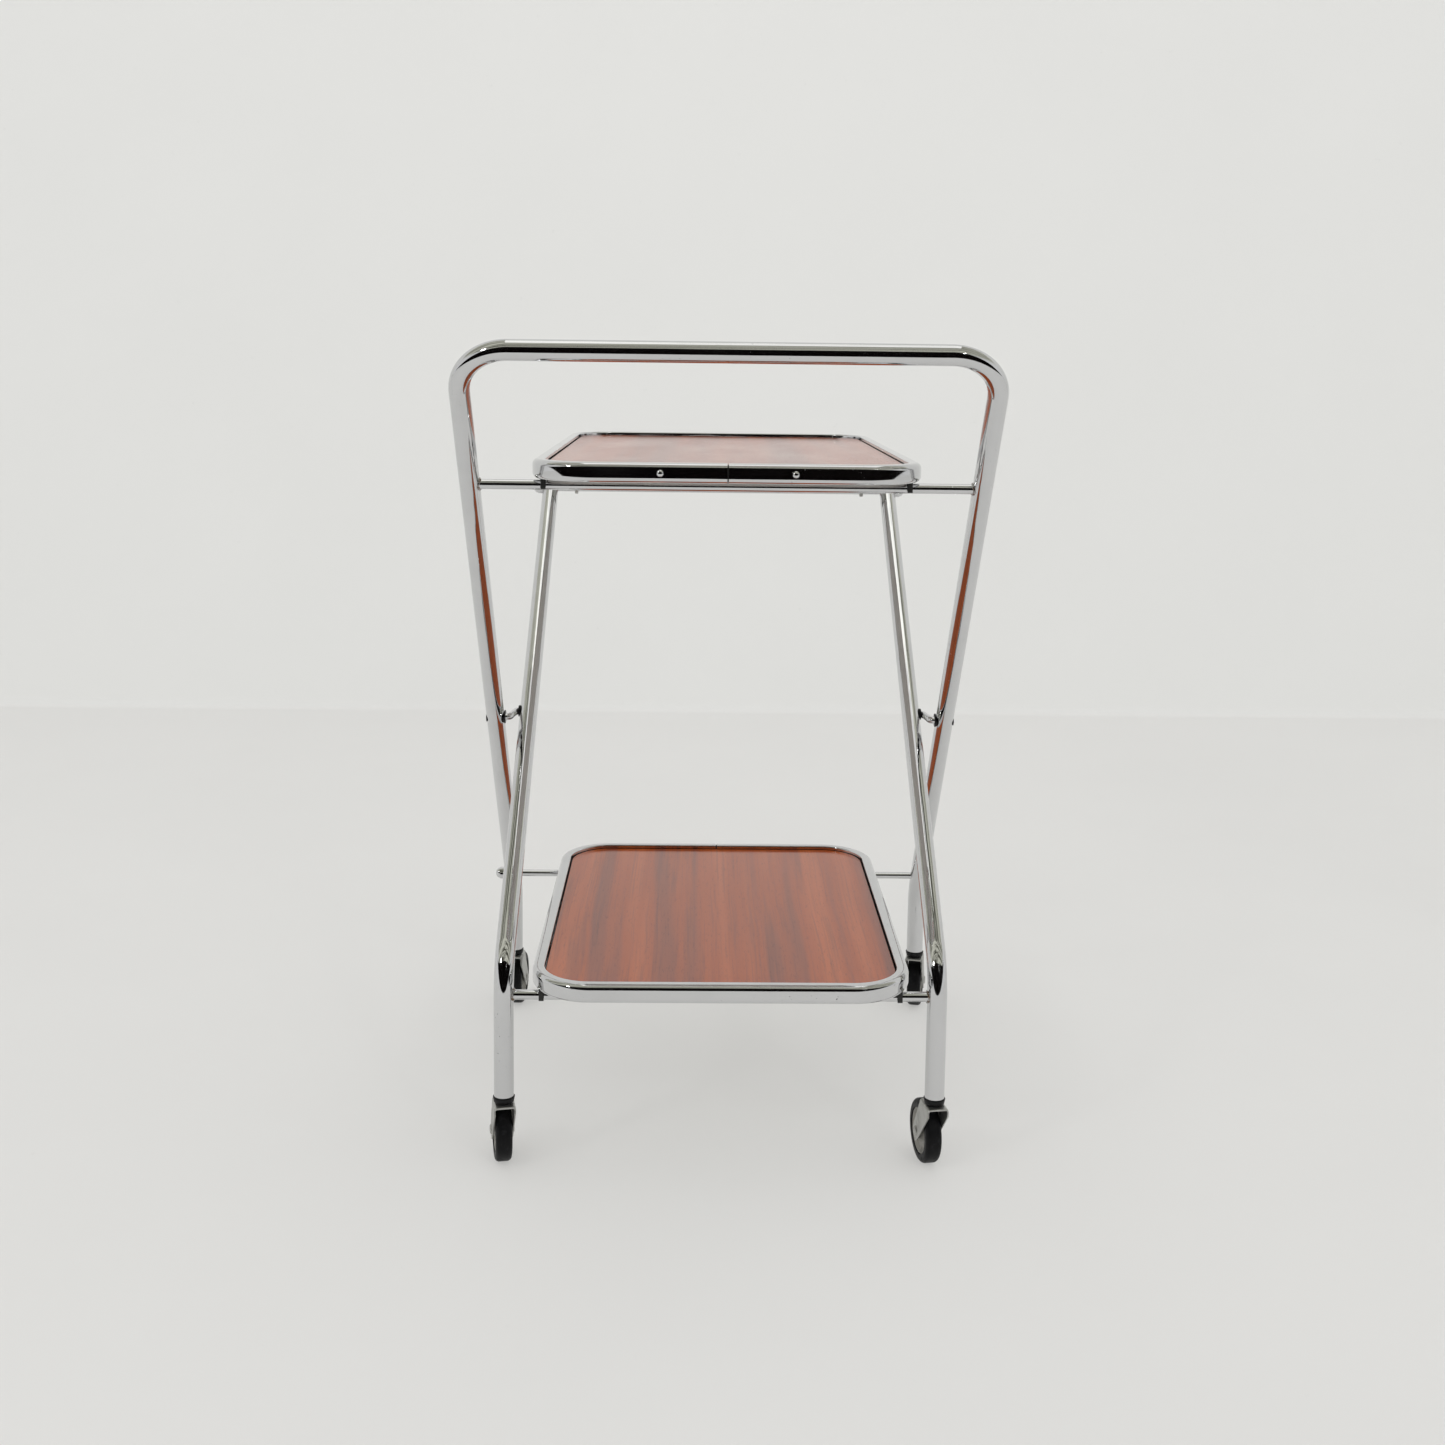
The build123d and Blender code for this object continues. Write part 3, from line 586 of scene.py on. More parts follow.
@finish_named("wood_laminate", {"IOR": 1.52})
def laminate(paint, looks):
    """Wood-print laminate with its grain along Y: broad streaks, narrow ones and fine lines that wander a
    little sideways, with short pores, under a glossy face."""
    x, y, z = paint.split(paint.place())
    across = x + paint.noise(paint.place((1, 0.6, 1)), 3.2, 2.0) * 0.016
    lane, fibre, short = (
        paint.node("ShaderNodeCombineXYZ", None, across, y * squeeze, z) for squeeze in (0.03, 0.012, 0.14)
    )
    broad = paint.noise(lane, 30.0, 2.0, 0.45)
    narrow = paint.noise(lane, 95.0, 3.0, 0.6).smooth(0.53, 0.68)
    line = paint.noise(fibre, 430.0, 3.0, 0.6)
    pores = paint.noise(short, 700.0, 2.0, 0.6).smooth(0.58, 0.70)
    light = (1 - broad).smooth(0.50, 0.66)
    tone = paint.blend(light * 0.8, rgba(looks.wood_mid), rgba(looks.wood_light))
    for share, gain in (
        (broad.smooth(0.50, 0.64) * 0.55, 1.0), (narrow * 0.36, 0.85),
        (line.smooth(0.50, 0.72) * 0.34, 0.75), (pores * 0.30, 0.5),
    ):
        tone = paint.blend(share, tone, rgba(looks.wood_dark, gain))
    rubbed = paint.noise(paint.place((2.4, 1, 1)), 6.0, 3.0)
    return {
        "Base Color": tone,
        "Roughness": 0.10 + rubbed * 0.12 + pores * 0.08,
        "Normal": paint.bump(1 - (pores * 0.7 + line * 0.3), 0.00003),
    }


@finish_named("board_edge", {"Specular IOR Level": 0.15})
def board_edge(paint, looks):
    """The board's sawn edge, made near-black as painted shade of the gap between the board and the rim, with
    a fine grit.
    """
    grit = paint.noise(paint.place(), 900.0, 3.0)
    return {
        "Base Color": paint.blend(grit.smooth(0.3, 0.7), rgba(looks.edge, 0.6), rgba(looks.edge, 1.3)),
        "Roughness": 0.65 + grit * 0.2,
        "Normal": paint.bump(grit, 0.0001),
    }


@finish_named("board_backing", {"Specular IOR Level": 0.3})
def board_backing(paint, looks):
    """The pale balancing sheet under the board, with a fine paper grain and a few stains."""
    grain = paint.noise(paint.place((1, 0.2, 1)), 800.0, 3.0)
    stain = paint.noise(paint.place(), 16.0, 4.0).smooth(0.55, 0.75)
    tone = paint.blend(grain.smooth(0.3, 0.7), rgba(looks.backing, 0.9), rgba(looks.backing))
    return {
        "Base Color": paint.blend(stain * 0.4, tone, rgba(looks.backing, 0.7)),
        "Roughness": 0.55 + grain * 0.2,
        "Normal": paint.bump(grain, 0.00005),
    }


@finish_named("black_plastic", {"Specular IOR Level": 0.22})
def black_plastic(paint, looks):
    """Moulded plastic with a fine spark-eroded grain, rubbed smooth in patches."""
    where = paint.place()
    rubbed = paint.noise(where, 60.0, 2.0).smooth(0.4, 0.7)
    grain = paint.noise(where, 2600.0, 2.0)
    return {
        "Base Color": paint.blend(rubbed * 0.5, rgba(looks.plastic), rgba(looks.plastic, 2.0)),
        "Roughness": 0.30 + grain * 0.12 + rubbed * 0.1,
        "Normal": paint.bump(grain * (1 - rubbed * 0.6), 0.00005),
    }


@finish_named("tyre_rubber", {"Specular IOR Level": 0.12})
def tyre_rubber(paint, looks):
    """Matt rubber with floor dust in its scuffs."""
    where = paint.place()
    dust = paint.noise(where, 170.0, 5.0).smooth(0.52, 0.75)
    scuff = paint.noise(where, 1200.0, 3.0)
    return {
        "Base Color": paint.blend(dust * 0.35, rgba(looks.rubber), rgba(looks.rubber, 6.0)),
        "Roughness": 0.42 + dust * 0.25,
        "Normal": paint.bump(scuff + dust * 0.5, 0.00008),
    }


@finish_named("wheel_plastic")
def wheel_plastic(paint, looks):
    """Grey moulded centres with grime that gathers in patches."""
    where = paint.place()
    grime = paint.noise(where, 90.0, 4.0).smooth(0.42, 0.75)
    return {
        "Base Color": paint.blend(grime * 0.7, rgba(looks.wheel), rgba(looks.wheel, 0.35)),
        "Roughness": 0.38 + grime * 0.3,
        "Normal": paint.bump(paint.noise(where, 900.0, 2.0), 0.00005),
    }


# Where things are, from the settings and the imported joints
def layout():
    """Positions of the frames, worked out as on the real trolley from the settings and the pivot."""
    f = settings().frames
    pivot = np.array(joint_of["frame_fold"]["pos_m"])
    at = SimpleNamespace(pivot=pivot, r=f.tube_d / 2, steps=settings().looks.round_steps)
    at.outer_x = f.outer_spacing / 2
    at.inner_x = at.outer_x - f.tube_d - f.leg_gap
    at.outer_y = lambda z: pivot[1] - (z - pivot[2]) * tan(f.outer_lean)
    at.inner_y = lambda z: pivot[1] + f.pivot_crank + (z - pivot[2]) * tan(f.inner_lean)
    at.far_foot_y = at.outer_y(f.outer_bend_height)
    at.near_foot_y = at.inner_y(f.inner_bend_height)
    return at


def leg_route(x, foot_y, bend_z, top_y, top_z):
    """The corners of a leg's centreline, from its foot up."""
    return [(x, foot_y, settings().frames.tube_end_height), (x, foot_y, bend_z), (x, top_y, top_z)]


def corners_of(node):
    """The low and the high corner of a CAD node's box."""
    return np.array([list(corner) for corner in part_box(node)])


def middle_of(node):
    """The middle of a CAD node's box."""
    return corners_of(node).mean(0)


def bar_between(name, node, body, radius):
    """A straight round bar along X in place of a CAD node, its ends bevelled."""
    bevel = settings().frames.bar_bevel
    x0, x1 = corners_of(node)[:, 0]
    profile = [(radius - bevel, x0), (radius, x0 + bevel), (radius, x1 - bevel), (radius - bevel, x1)]
    sheet = Sheet(turned(profile, middle_of(node) * (0, 1, 1), X_AXIS, settings().looks.round_steps))
    make_piece(name, body, [sheet], [chrome()], [node])


def cap_nuts(name, node, body, half_x):
    """Domed hexagon nuts. The radius is a hexagon's, flats over 2 cos of the angle from the nearest flat,
    cut by a cone at both ends, and over the dome it follows a circle's arc."""
    f = settings().frames
    middle, flat, height = middle_of(node), f.nut_flats / 2, f.nut_hex_h
    a = round_angles(NUT_STEPS)
    to_flat = (a + pi / 6) % (pi / 3) - pi / 6
    hexagon = flat / np.cos(to_flat)
    shoulder, corner = (np.minimum(hexagon, flat * share) for share in (1.02, 1.12))
    dome_r, chamfer = flat * 0.96, height * 0.12
    rows = [(shoulder, 0.0), (corner, chamfer), (corner, height - chamfer), (shoulder, height)]
    for t in np.linspace(0, pi / 2, 12):
        rows.append((dome_r * cos(t) * np.ones(NUT_STEPS), height + f.nut_dome_h * sin(t)))
    radius = np.stack([row for row, _ in rows])
    along = np.array([h for _, h in rows])[:, None]
    sheets = []
    for side in SIDES.values():
        x = side * (half_x + f.tube_d / 2 + along) + np.zeros_like(radius)
        y, z = middle[1] + radius * np.sin(a), middle[2] + radius * np.cos(a)
        sheets.append(Sheet(np.stack([x, y, z], -1)))
    make_piece(name, body, sheets, [chrome()], [node], sharp=radians(24))


def weld_beads(name, node, body, half_x, lean):
    """Beads where a crossbar meets the legs. Round the bar, the seam follows the leg: it stands off the
    leg's middle by the root of R squared less the square of the offset across the leg. The bead's
    thickness swells with two sine waves, 7 and 12 to the turn."""
    f = settings().frames
    middle = middle_of(node)
    bar_r, leg_r = f.crossbar_d / 2, f.tube_d / 2
    a = round_angles(WELD_STEPS)
    u, v = circle(f.weld_r, 12).T[..., None]
    sheets = []
    for side in SIDES.values():
        y, z = bar_r * np.cos(a), bar_r * np.sin(a)
        across = y * cos(lean) + z * sin(lean)
        x = side * (half_x - np.sqrt(leg_r**2 - across**2))
        seam = np.stack([x, middle[1] + y, middle[2] + z], -1)
        outward = np.stack([0 * a, np.cos(a), np.sin(a)], -1)
        lumps = 1 + 0.16 * np.sin(7 * a + side) + 0.1 * np.sin(12 * a)
        points = seam[:, None] + lumps[:, None, None] * (outward[:, None] * u + X_AXIS * v)
        sheets.append(Sheet(points, round_rows=True))
    make_piece(name, body, sheets, [weld_metal()])


class TROLLEY_OT_outer_frame(bpy.types.Operator):
    """Builds the outer frame: the handle tube, its crossbar and the lower hinge rod"""

    bl_idname = "trolley.outer_frame"
    bl_label = "Outer frame"

    def execute(self, context):
        f, at = settings().frames, layout()
        left, right = (
            leg_route(side * at.outer_x, at.far_foot_y, f.outer_bend_height,
                      at.outer_y(f.handle_height), f.handle_height)
            for side in SIDES.values()
        )
        radii = [f.foot_bend_r, f.handle_corner_r, f.handle_corner_r, f.foot_bend_r]
        path = bent_route(left + right[::-1], radii)
        reference = (0, cos(f.outer_lean), sin(f.outer_lean))
        tube = Sheet(carried(path, circle(at.r, at.steps), reference))
        make_piece("handle_tube", "outer_frame", [tube], [chrome()], ["handle_frame"])
        bar_between("upper_crossbar", "handle_crossbar", "outer_frame", f.crossbar_d / 2)
        bar_between("lower_rod", "lower_hinge_rod", "outer_frame", f.rod_d / 2)
        cap_nuts("lower_nuts", "lower_hinge_nuts", "outer_frame", at.outer_x)
        weld_beads("upper_welds", "handle_crossbar", "outer_frame", at.outer_x, f.outer_lean)
        return {"FINISHED"}


class TROLLEY_OT_inner_frame(bpy.types.Operator):
    """Builds the inner frame: two legs with caps, their crossbar and the upper hinge rod"""

    bl_idname = "trolley.inner_frame"
    bl_label = "Inner frame"

    def execute(self, context):
        f, at = settings().frames, layout()
        top_y, top_z = at.inner_y(f.inner_top_height), f.inner_top_height
        along = (0, sin(f.inner_lean), cos(f.inner_lean))
        edge, plug_r = f.cap_round, at.r * 0.8
        dome = arc((at.r - edge, f.cap_t - edge), edge, 0, pi / 2, 7)
        cap = np.vstack([[(plug_r, -f.cap_plug_l), (plug_r, 0), (at.r, 0)], dome, [(0, f.cap_t)]])
        caps = []
        for side_name, side in SIDES.items():
            x = side * at.inner_x
            route = leg_route(x, at.near_foot_y, f.inner_bend_height, top_y, top_z)
            tube = Sheet(carried(bent_route(route, [f.foot_bend_r]), circle(at.r, at.steps), X_AXIS))
            node = f"inner_leg_{side_name}"
            make_piece(f"inner_tube_{side_name}", "inner_frame", [tube], [chrome()], [node])
            caps.append(Sheet(turned(cap, (x, top_y, top_z), along, at.steps)))
        make_piece("leg_caps", "inner_frame", caps, [black_plastic()], ["inner_leg_caps"])
        bar_between("lower_crossbar", "inner_crossbar", "inner_frame", f.crossbar_d / 2)
        bar_between("upper_rod", "upper_hinge_rod", "inner_frame", f.rod_d / 2)
        cap_nuts("upper_nuts", "upper_hinge_nuts", "inner_frame", at.inner_x)
        weld_beads("lower_welds", "inner_crossbar", "inner_frame", at.inner_x, 0)
        return {"FINISHED"}


class TROLLEY_OT_pivots(bpy.types.Operator):
    """Builds the cranked pivot pins, the bushes in the outer legs and the collars at the inner legs"""

    bl_idname = "trolley.pivots"
    bl_label = "Pivots"

    def execute(self, context):
        f, at = settings().frames, layout()
        pin_r = f.rod_d / 2
        bore, edge = pin_r * 1.012, f.bush_t * 0.35
        y, z = at.pivot[1:]
        bush_x, back = at.outer_x - at.r - f.bush_t, y + f.pivot_crank
        flange, sleeve, bush_end = f.bush_d / 2, f.sleeve_d / 2, f.bush_t + f.tube_d
        bush = [
            (bore, 0), (flange - edge, 0), (flange, edge), (flange, f.bush_t), (sleeve, f.bush_t),
            (sleeve, bush_end), (bore, bush_end),
        ]
        outer, collar_end = f.collar_d / 2, f.collar_t + at.r / 2
        collar = [(bore, 0), (outer - edge, 0), (outer, edge), (outer, collar_end), (bore, collar_end)]
        bushes, collars = [], []
        for side_name, side in SIDES.items():
            corners = [
                (side * (at.outer_x + at.r), y, z), (side * (bush_x - f.pin_gap - pin_r), y, z),
                (side * (at.inner_x + at.r + pin_r), back, z), (side * at.inner_x, back, z),
            ]
            path = bent_route(corners, [f.pin_bend_r, f.pin_bend_r], radians(6))
            pin = Sheet(carried(path, circle(pin_r, PIN_STEPS), Z_AXIS))
            node = f"pivot_pin_{side_name}"
            make_piece(f"pin_{side_name}", "inner_frame", [pin], [chrome()], [node])
            start = (side * bush_x, y, z)
            bushes.append(Sheet(turned(bush, start, (side, 0, 0), BUSH_STEPS), round_rows=True))
            start = (side * (at.inner_x + at.r + f.collar_t), back, z)
            collars.append(Sheet(turned(collar, start, (-side, 0, 0), BUSH_STEPS), round_rows=True))
        make_piece("bushes", "outer_frame", bushes, [black_plastic()], ["pivot_bushes"])
        make_piece("collars", "inner_frame", collars, [black_plastic()], ["pivot_collars"])
        return {"FINISHED"}


def tray_box(tray):
    """Middle of a tray's rim, its half width and its half length."""
    low, high = corners_of(f"{tray}_rim")
    return (low + high) / 2, *((high - low)[:2] / 2)


def build_rim(tray, seam_side):
    """The rim's section carried round a rounded rectangle, from the seam back to the seam."""
    t = settings().trays
    middle, half_w, half_l = tray_box(tray)
    x, y, line_r = half_w - t.rim_w / 2, half_l - t.rim_w / 2, t.corner_r - t.rim_w / 2
    corners = [(t.seam / 2, -y), (x, -y), (x, y), (-x, y), (-x, -y), (-t.seam / 2, -y)]
    corners = [(seam_side * -cx, seam_side * -cy, 0) for cx, cy in corners]
    path = middle + bent_route(corners, [line_r] * 4)
    radii = [t.outer_round, t.inner_round, t.inner_round, t.outer_round]
    rim = Sheet(carried(path, rounded_section(t.rim_w, t.rim_h, radii, 10), Z_AXIS))
    make_piece(f"{tray}_rim_tube", tray, [rim], [chrome()], [f"{tray}_rim"])
    rise, head_r = np.linspace(0, pi / 2, 8), t.rivet_d / 2
    dome = np.stack([head_r * np.cos(rise), t.rivet_h * np.sin(rise)], -1)
    profile = np.vstack([[(head_r * 0.8, -t.rivet_h)], dome])
    heads = []
    for k in (-1, 1):
        foot = middle + (k * t.rivet_spacing / 2, seam_side * half_l, 0)
        heads.append(Sheet(turned(profile, foot, (0, seam_side, 0), RIVET_STEPS)))
    make_piece(f"{tray}_rivet_heads", tray, heads, [chrome()], [f"{tray}_rim_rivets"])


def build_board(tray):
    """The board: a plate with rounded corners, laminated on top, near-black round its bevelled edge as
    painted shade of the gap by the rim, and plain below.
    """
    t = settings().trays
    middle, half_w, half_l = tray_box(tray)
    inset = t.rim_w + t.board_gap
    discs = corner_discs(half_w - inset, half_l - inset, t.corner_r - inset)
    centre = middle + (0, 0, t.rim_h / 2 - t.board_inset - t.board_t / 2)
    points = plate(discs, centre, X_AXIS, Y_AXIS, t.board_t, t.board_edge, BOARD_STEPS)
    parts = ((points[4:], 0), (points[1:5], 1), (points[:2], 2))
    sheets = [Sheet(grid, ends=False, material=kind) for grid, kind in parts]
    finishes = [laminate(), board_edge(), board_backing()]
    make_piece(f"{tray}_laminate", tray, sheets, finishes, [f"{tray}_board"])


def build_hanger(tray, side_name):
    """An eye plate that hangs on a rod, with its foot under the rim."""
    t = settings().trays
    node = f"{tray}_lug_{side_name}"
    low, high = corners_of(node)
    x, y = (low + high)[:2] / 2
    eye_r, round_r = t.lug_eye_d / 2, t.bracket_t / 2
    rod_z, foot_z, foot_y = low[2] + eye_r, high[2] - round_r, t.lug_foot_l / 3 - round_r
    discs = [(0, rod_z, eye_r), (-foot_y, foot_z, round_r), (foot_y, foot_z, round_r)]
    eye = (0, rod_z, settings().frames.rod_d / 2 + EYE_CLEARANCE)
    hanger = plate(discs, (x, y, 0), Y_AXIS, Z_AXIS, t.lug_t, t.lug_bevel, HANGER_STEPS, eye)
    discs = corner_discs(t.rim_w / 2, t.lug_foot_l / 2, t.lug_foot_r)
    foot = plate(discs, (x, y, foot_z), X_AXIS, Y_AXIS, t.bracket_t, t.bracket_bevel, FOOT_STEPS)
    sheets = [Sheet(hanger, round_rows=True), Sheet(foot, ends=False)]
    make_piece(f"{tray}_hanger_{side_name}", tray, sheets, [plated_steel()], [node])


def build_catch(tray, side_name):
    """A strip under the rim, bent down at one end, that hooks over a crossbar."""
    t = settings().trays
    node = f"{tray}_catch_{side_name}"
    low, high = corners_of(node)
    half_t = t.bracket_t / 2
    x = (low[0] + high[0]) / 2 - SIDES[side_name] * (t.catch_inset - t.rim_w / 2)
    lip_y, seat_z = low[1] + half_t, high[2] - half_t
    corners = [(x, lip_y, low[2]), (x, lip_y, seat_z), (x, high[1], seat_z)]
    line = bent_route(corners, [half_t * 1.3], radians(12))
    section = rounded_section(t.bracket_t, t.catch_w, [t.bracket_bevel] * 4, 3)
    catch = Sheet(carried(line, section, X_AXIS))
    # The catch is near-black as painted shade: the shadow under the rim's corner where it meets the
    # crossbar.
    make_piece(f"{tray}_seat_{side_name}", tray, [catch], [shadow_steel()], [node])


class TROLLEY_OT_trays(bpy.types.Operator):
    """Builds both trays: rims with their rivets, boards, hangers and catches"""

    bl_idname = "trolley.trays"
    bl_label = "Trays"

    def execute(self, context):
        for tray, seam_side in (("top_tray", -1), ("lower_tray", 1)):
            build_rim(tray, seam_side)
            build_board(tray)
            for side_name in SIDES:
                build_hanger(tray, side_name)
                build_catch(tray, side_name)
        return {"FINISHED"}


def build_wheel(castor, axle, across):
    """A tyre and a moulded centre, turned about the axle."""
    c, wheel = settings().castors, f"{castor}_wheel"
    r, w, s = c.wheel_d / 2, c.wheel_w / 2, c.tyre_round
    inner, lip, lip_w = c.hub_d / 2 * 1.002, c.tyre_lip, w * 0.94
    crown = np.vstack([arc((r - s, w - s), s, pi / 2, 0, 9), arc((r - s, s - w), s, 0, -pi / 2, 9)])
    profile = np.vstack([[(inner, lip_w), (inner + lip, w)], crown, [(inner + lip, -w), (inner, -lip_w)]])
    tyre = Sheet(turned(profile, axle, across, WHEEL_STEPS), round_rows=True)
    make_piece(f"{castor}_tyre", wheel, [tyre], [tyre_rubber()], [f"{castor}_castor_tyre"])
    face, web, edge = c.hub_w / 2, c.hub_web_t / 2, c.hub_edge
    bore, boss, disc = c.axle_d / 2 * 1.03, c.boss_d / 2, c.hub_d / 2
    band = disc - c.band_t
    half = [
        (bore, face), (boss - edge, face), (boss, face - edge), (boss + c.boss_slope, web),
        (band - edge - c.band_slope, web), (band - edge, face - edge), (band, face), (disc - edge, face),
        (disc, face - edge),
    ]
    profile = half + [(radius, -along) for radius, along in half[::-1]]
    hub = Sheet(turned(profile, axle, across, WHEEL_STEPS), round_rows=True)
    make_piece(f"{castor}_hub", wheel, [hub], [wheel_plastic()], [f"{castor}_castor_hub"])


def hood_line(half_w, low, top, r):
    """A line up one side, over and down the other, with its upper corners rounded."""
    left, right = arc((r - half_w, top - r), r, pi, pi / 2, 8), arc((half_w - r, top - r), r, pi / 2, 0, 8)
    return np.vstack([[(-half_w, low)], left, right, [(half_w, low)]])


def build_fork(castor, stem, axle, across):
    """The pressed fork: a hood bent over at both sides, and two side plates pulled tight to the axle."""
    c, body = settings().castors, f"{castor}_castor"
    back = unit(np.cross(Z_AXIS, across))
    top = settings().frames.tube_end_height - c.collar_h - c.swivel_gap
    half_w, half_l, r, soft = c.fork_inner_w / 2 + c.plate_t, c.hood_l / 2, c.plate_r, c.plate_bevel
    high, low, reach = top - c.hood_bend - r, top - c.shoulder_h + r, axle @ back - stem @ back
    discs = [
        (r - half_l, high, r), (half_l - r, high, r), (r - half_l, low, r),
        (reach, axle[2], c.eye_d / 2), (reach, axle[2] - c.tip_drop, c.tip_r),
    ]
    eye = (reach, axle[2], c.axle_d / 2 + EYE_CLEARANCE)
    ground = np.array((stem[0], stem[1], 0))
    sheets = []
    for side in SIDES.values():
        centre = ground + across * side * (half_w - c.plate_t / 2)
        points = plate(discs, centre, back, Z_AXIS, c.plate_t, soft, FORK_STEPS, eye)
        sheets.append(Sheet(points, round_rows=True))
    outer = hood_line(half_w, high, top, c.hood_bend)
    inner = hood_line(half_w - c.plate_t, high, top - c.hood_t, c.hood_bend - c.plate_t)
    towards = unit(inner - outer) * soft
    loop = [
        (outer, -1, -soft), (outer, 1, -soft), (outer + towards, 1, 0), (inner - towards, 1, 0),
        (inner, 1, -soft), (inner, -1, -soft), (inner - towards, -1, 0), (outer + towards, -1, 0),
    ]
    lines = [
        ground + line[:, :1] * across + line[:, 1:] * Z_AXIS + end * (half_l + cut) * back
        for line, end, cut in loop
    ]
    sheets.append(Sheet(np.stack(lines, axis=1)))
    make_piece(f"{castor}_fork", body, sheets, [plated_steel()], [f"{castor}_castor_fork"])
    head, height = c.axle_head_d / 2, c.axle_head_h
    crown = np.vstack([[(0, height)], arc((head - height, 0), height, pi / 2, 0, 7)]) + (0, half_w)
    shaft = [(c.axle_d / 2, half_w), (c.axle_d / 2, -half_w)]
    profile = np.vstack([crown, shaft, crown[::-1] * (1, -1)])
    rivet = Sheet(turned(profile, axle, across, AXLE_STEPS), ends=False)
    make_piece(f"{castor}_rivet", body, [rivet], [plated_steel()], [f"{castor}_castor_axle"])


def build_socket(castor, stem, body):
    """The black collar under a leg's end, a little tapered, and its plug inside the tube."""
    c, f = settings().castors, settings().frames
    node = f"{castor}_castor_socket"
    r, edge, bore, plug = c.collar_d / 2, c.collar_round, c.stem_bore_d / 2, f.tube_d / 2 * 0.85
    low_r, z1 = r * 0.93, f.tube_end_height
    z0, plug_top = z1 - c.collar_h, corners_of(node)[1, 2]
    profile = np.vstack([
        [(bore, plug_top - c.plug_end_t), (bore, z0)], arc((low_r - edge, z0 + edge), edge, -pi / 2, 0, 7),
        arc((r - edge / 2, z1 - edge), edge / 2, 0, pi / 2, 5), [(plug, z1), (plug, plug_top)],
    ])
    sheet = Sheet(turned(profile, (stem[0], stem[1], 0), Z_AXIS, SOCKET_STEPS), round_rows=True)
    make_piece(f"{castor}_socket", body, [sheet], [black_plastic()], [node])


class TROLLEY_OT_castors(bpy.types.Operator):
    """Builds the four castors: collar, fork, rivet, wheel centre and tyre"""

    bl_idname = "trolley.castors"
    bl_label = "Castors"

    def execute(self, context):
        for castor in ("near_left", "near_right", "far_left", "far_right"):
            swivel, roll = joint_of[f"{castor}_swivel"], joint_of[f"{castor}_roll"]
            stem, axle = np.array(swivel["pos_m"]), np.array(roll["pos_m"])
            across = unit(roll["axis"])
            build_wheel(castor, axle, across)
            build_fork(castor, stem, axle, across)
            build_socket(castor, stem, swivel["parent"])
        return {"FINISHED"}


class TROLLEY_OT_fixings(bpy.types.Operator):
    """Gives the small carried-over pieces, such as clips, screws, splices and stems, their finish"""

    bl_idname = "trolley.fixings"
    bl_label = "Fixings"

    def execute(self, context):
        for name, node in frame["nodes"].items():
            if not node.hide_render:
                node.data.materials.clear()
                # Splices get near-black steel as painted shade of the recess inside the rim; the other
                # pieces get plated steel.
                node.data.materials.append(shadow_steel() if "splice" in name else plated_steel())
        return {"FINISHED"}


# Stage, camera and light
CAMERA_PLACE = (-0.0308, -1.8268, 0.8255)
CAMERA_YAW, CAMERA_PITCH, CAMERA_ROLL = 0.01696, 0.11712, 0.01221
FOCAL_PX, FRAME_PX, CENTRE_ROW_PX = 1650.0, 1445.0, 545.0
SENSOR_MM = 36.0
WALL_Y = 1.9
ROOM = 9.0
COVE_R = 0.02
COAT_GLOW, COAT_GLOW_SHARE = 0.93, 0.5
BAND_R, BAND_TOP_Z, BAND_SIDE_Z = 1.92, 1.85, 0.7
BAND_COLOUR = (0.003, 0.002, 0.002, 1)
HORIZON_LIGHT = (1.36, 1.36, 1.36, 1)
OVERHEAD_LIGHT = (0.68, 0.68, 0.68, 1)
MIRRORED_WALLS = (0.76, 0.76, 0.755, 1)
MIRRORED_CEILING = (0.70, 0.70, 0.60, 1)
MIRRORED_BEAMS = (0.075, 0.075, 0.055, 1)
LAMP_AIM = (0, 0, 0.4)
# Each lamp's name, place, size in metres and watts
LAMPS = (
    ("ceiling_panel", (0.2, 0.2, 3.2), 1.6, 7),
    ("left_panel", (-2.3, -2.2, 2.3), 0.35, 9),
    ("right_panel", (1.5, -2.9, 2.2), 0.3, 7),
)


def add_camera():
    """The photograph's viewpoint: turned by yaw, tilted down by pitch and rolled."""
    data = bpy.data.cameras.new("camera")
    data.sensor_width = SENSOR_MM
    data.lens = SENSOR_MM * FOCAL_PX / FRAME_PX
    data.shift_y = (CENTRE_ROW_PX - FRAME_PX / 2) / FRAME_PX
    camera = link_object("camera", data)
    camera.matrix_world = (
        Matrix.Translation(CAMERA_PLACE)
        @ Matrix.Rotation(-CAMERA_YAW, 4, "Z")
        @ Matrix.Rotation(pi / 2 - CAMERA_PITCH, 4, "X")
        @ Matrix.Rotation(CAMERA_ROLL, 4, "Z")
    )
    bpy.context.scene.camera = camera


def add_lamp(name, place, size, watts):
    """A soft square lamp that points at the trolley's middle."""
    data = bpy.data.lights.new(name, "AREA")
    data.size, data.energy = size, watts
    back = unit(np.subtract(place, LAMP_AIM))
    side = unit(np.cross(Y_AXIS if abs(back[2]) > 0.9 else Z_AXIS, back))
    turn = np.eye(4)
    turn[:3] = np.stack([side, np.cross(back, side), back, place], 1)
    link_object(name, data).matrix_world = Matrix(turn.tolist())


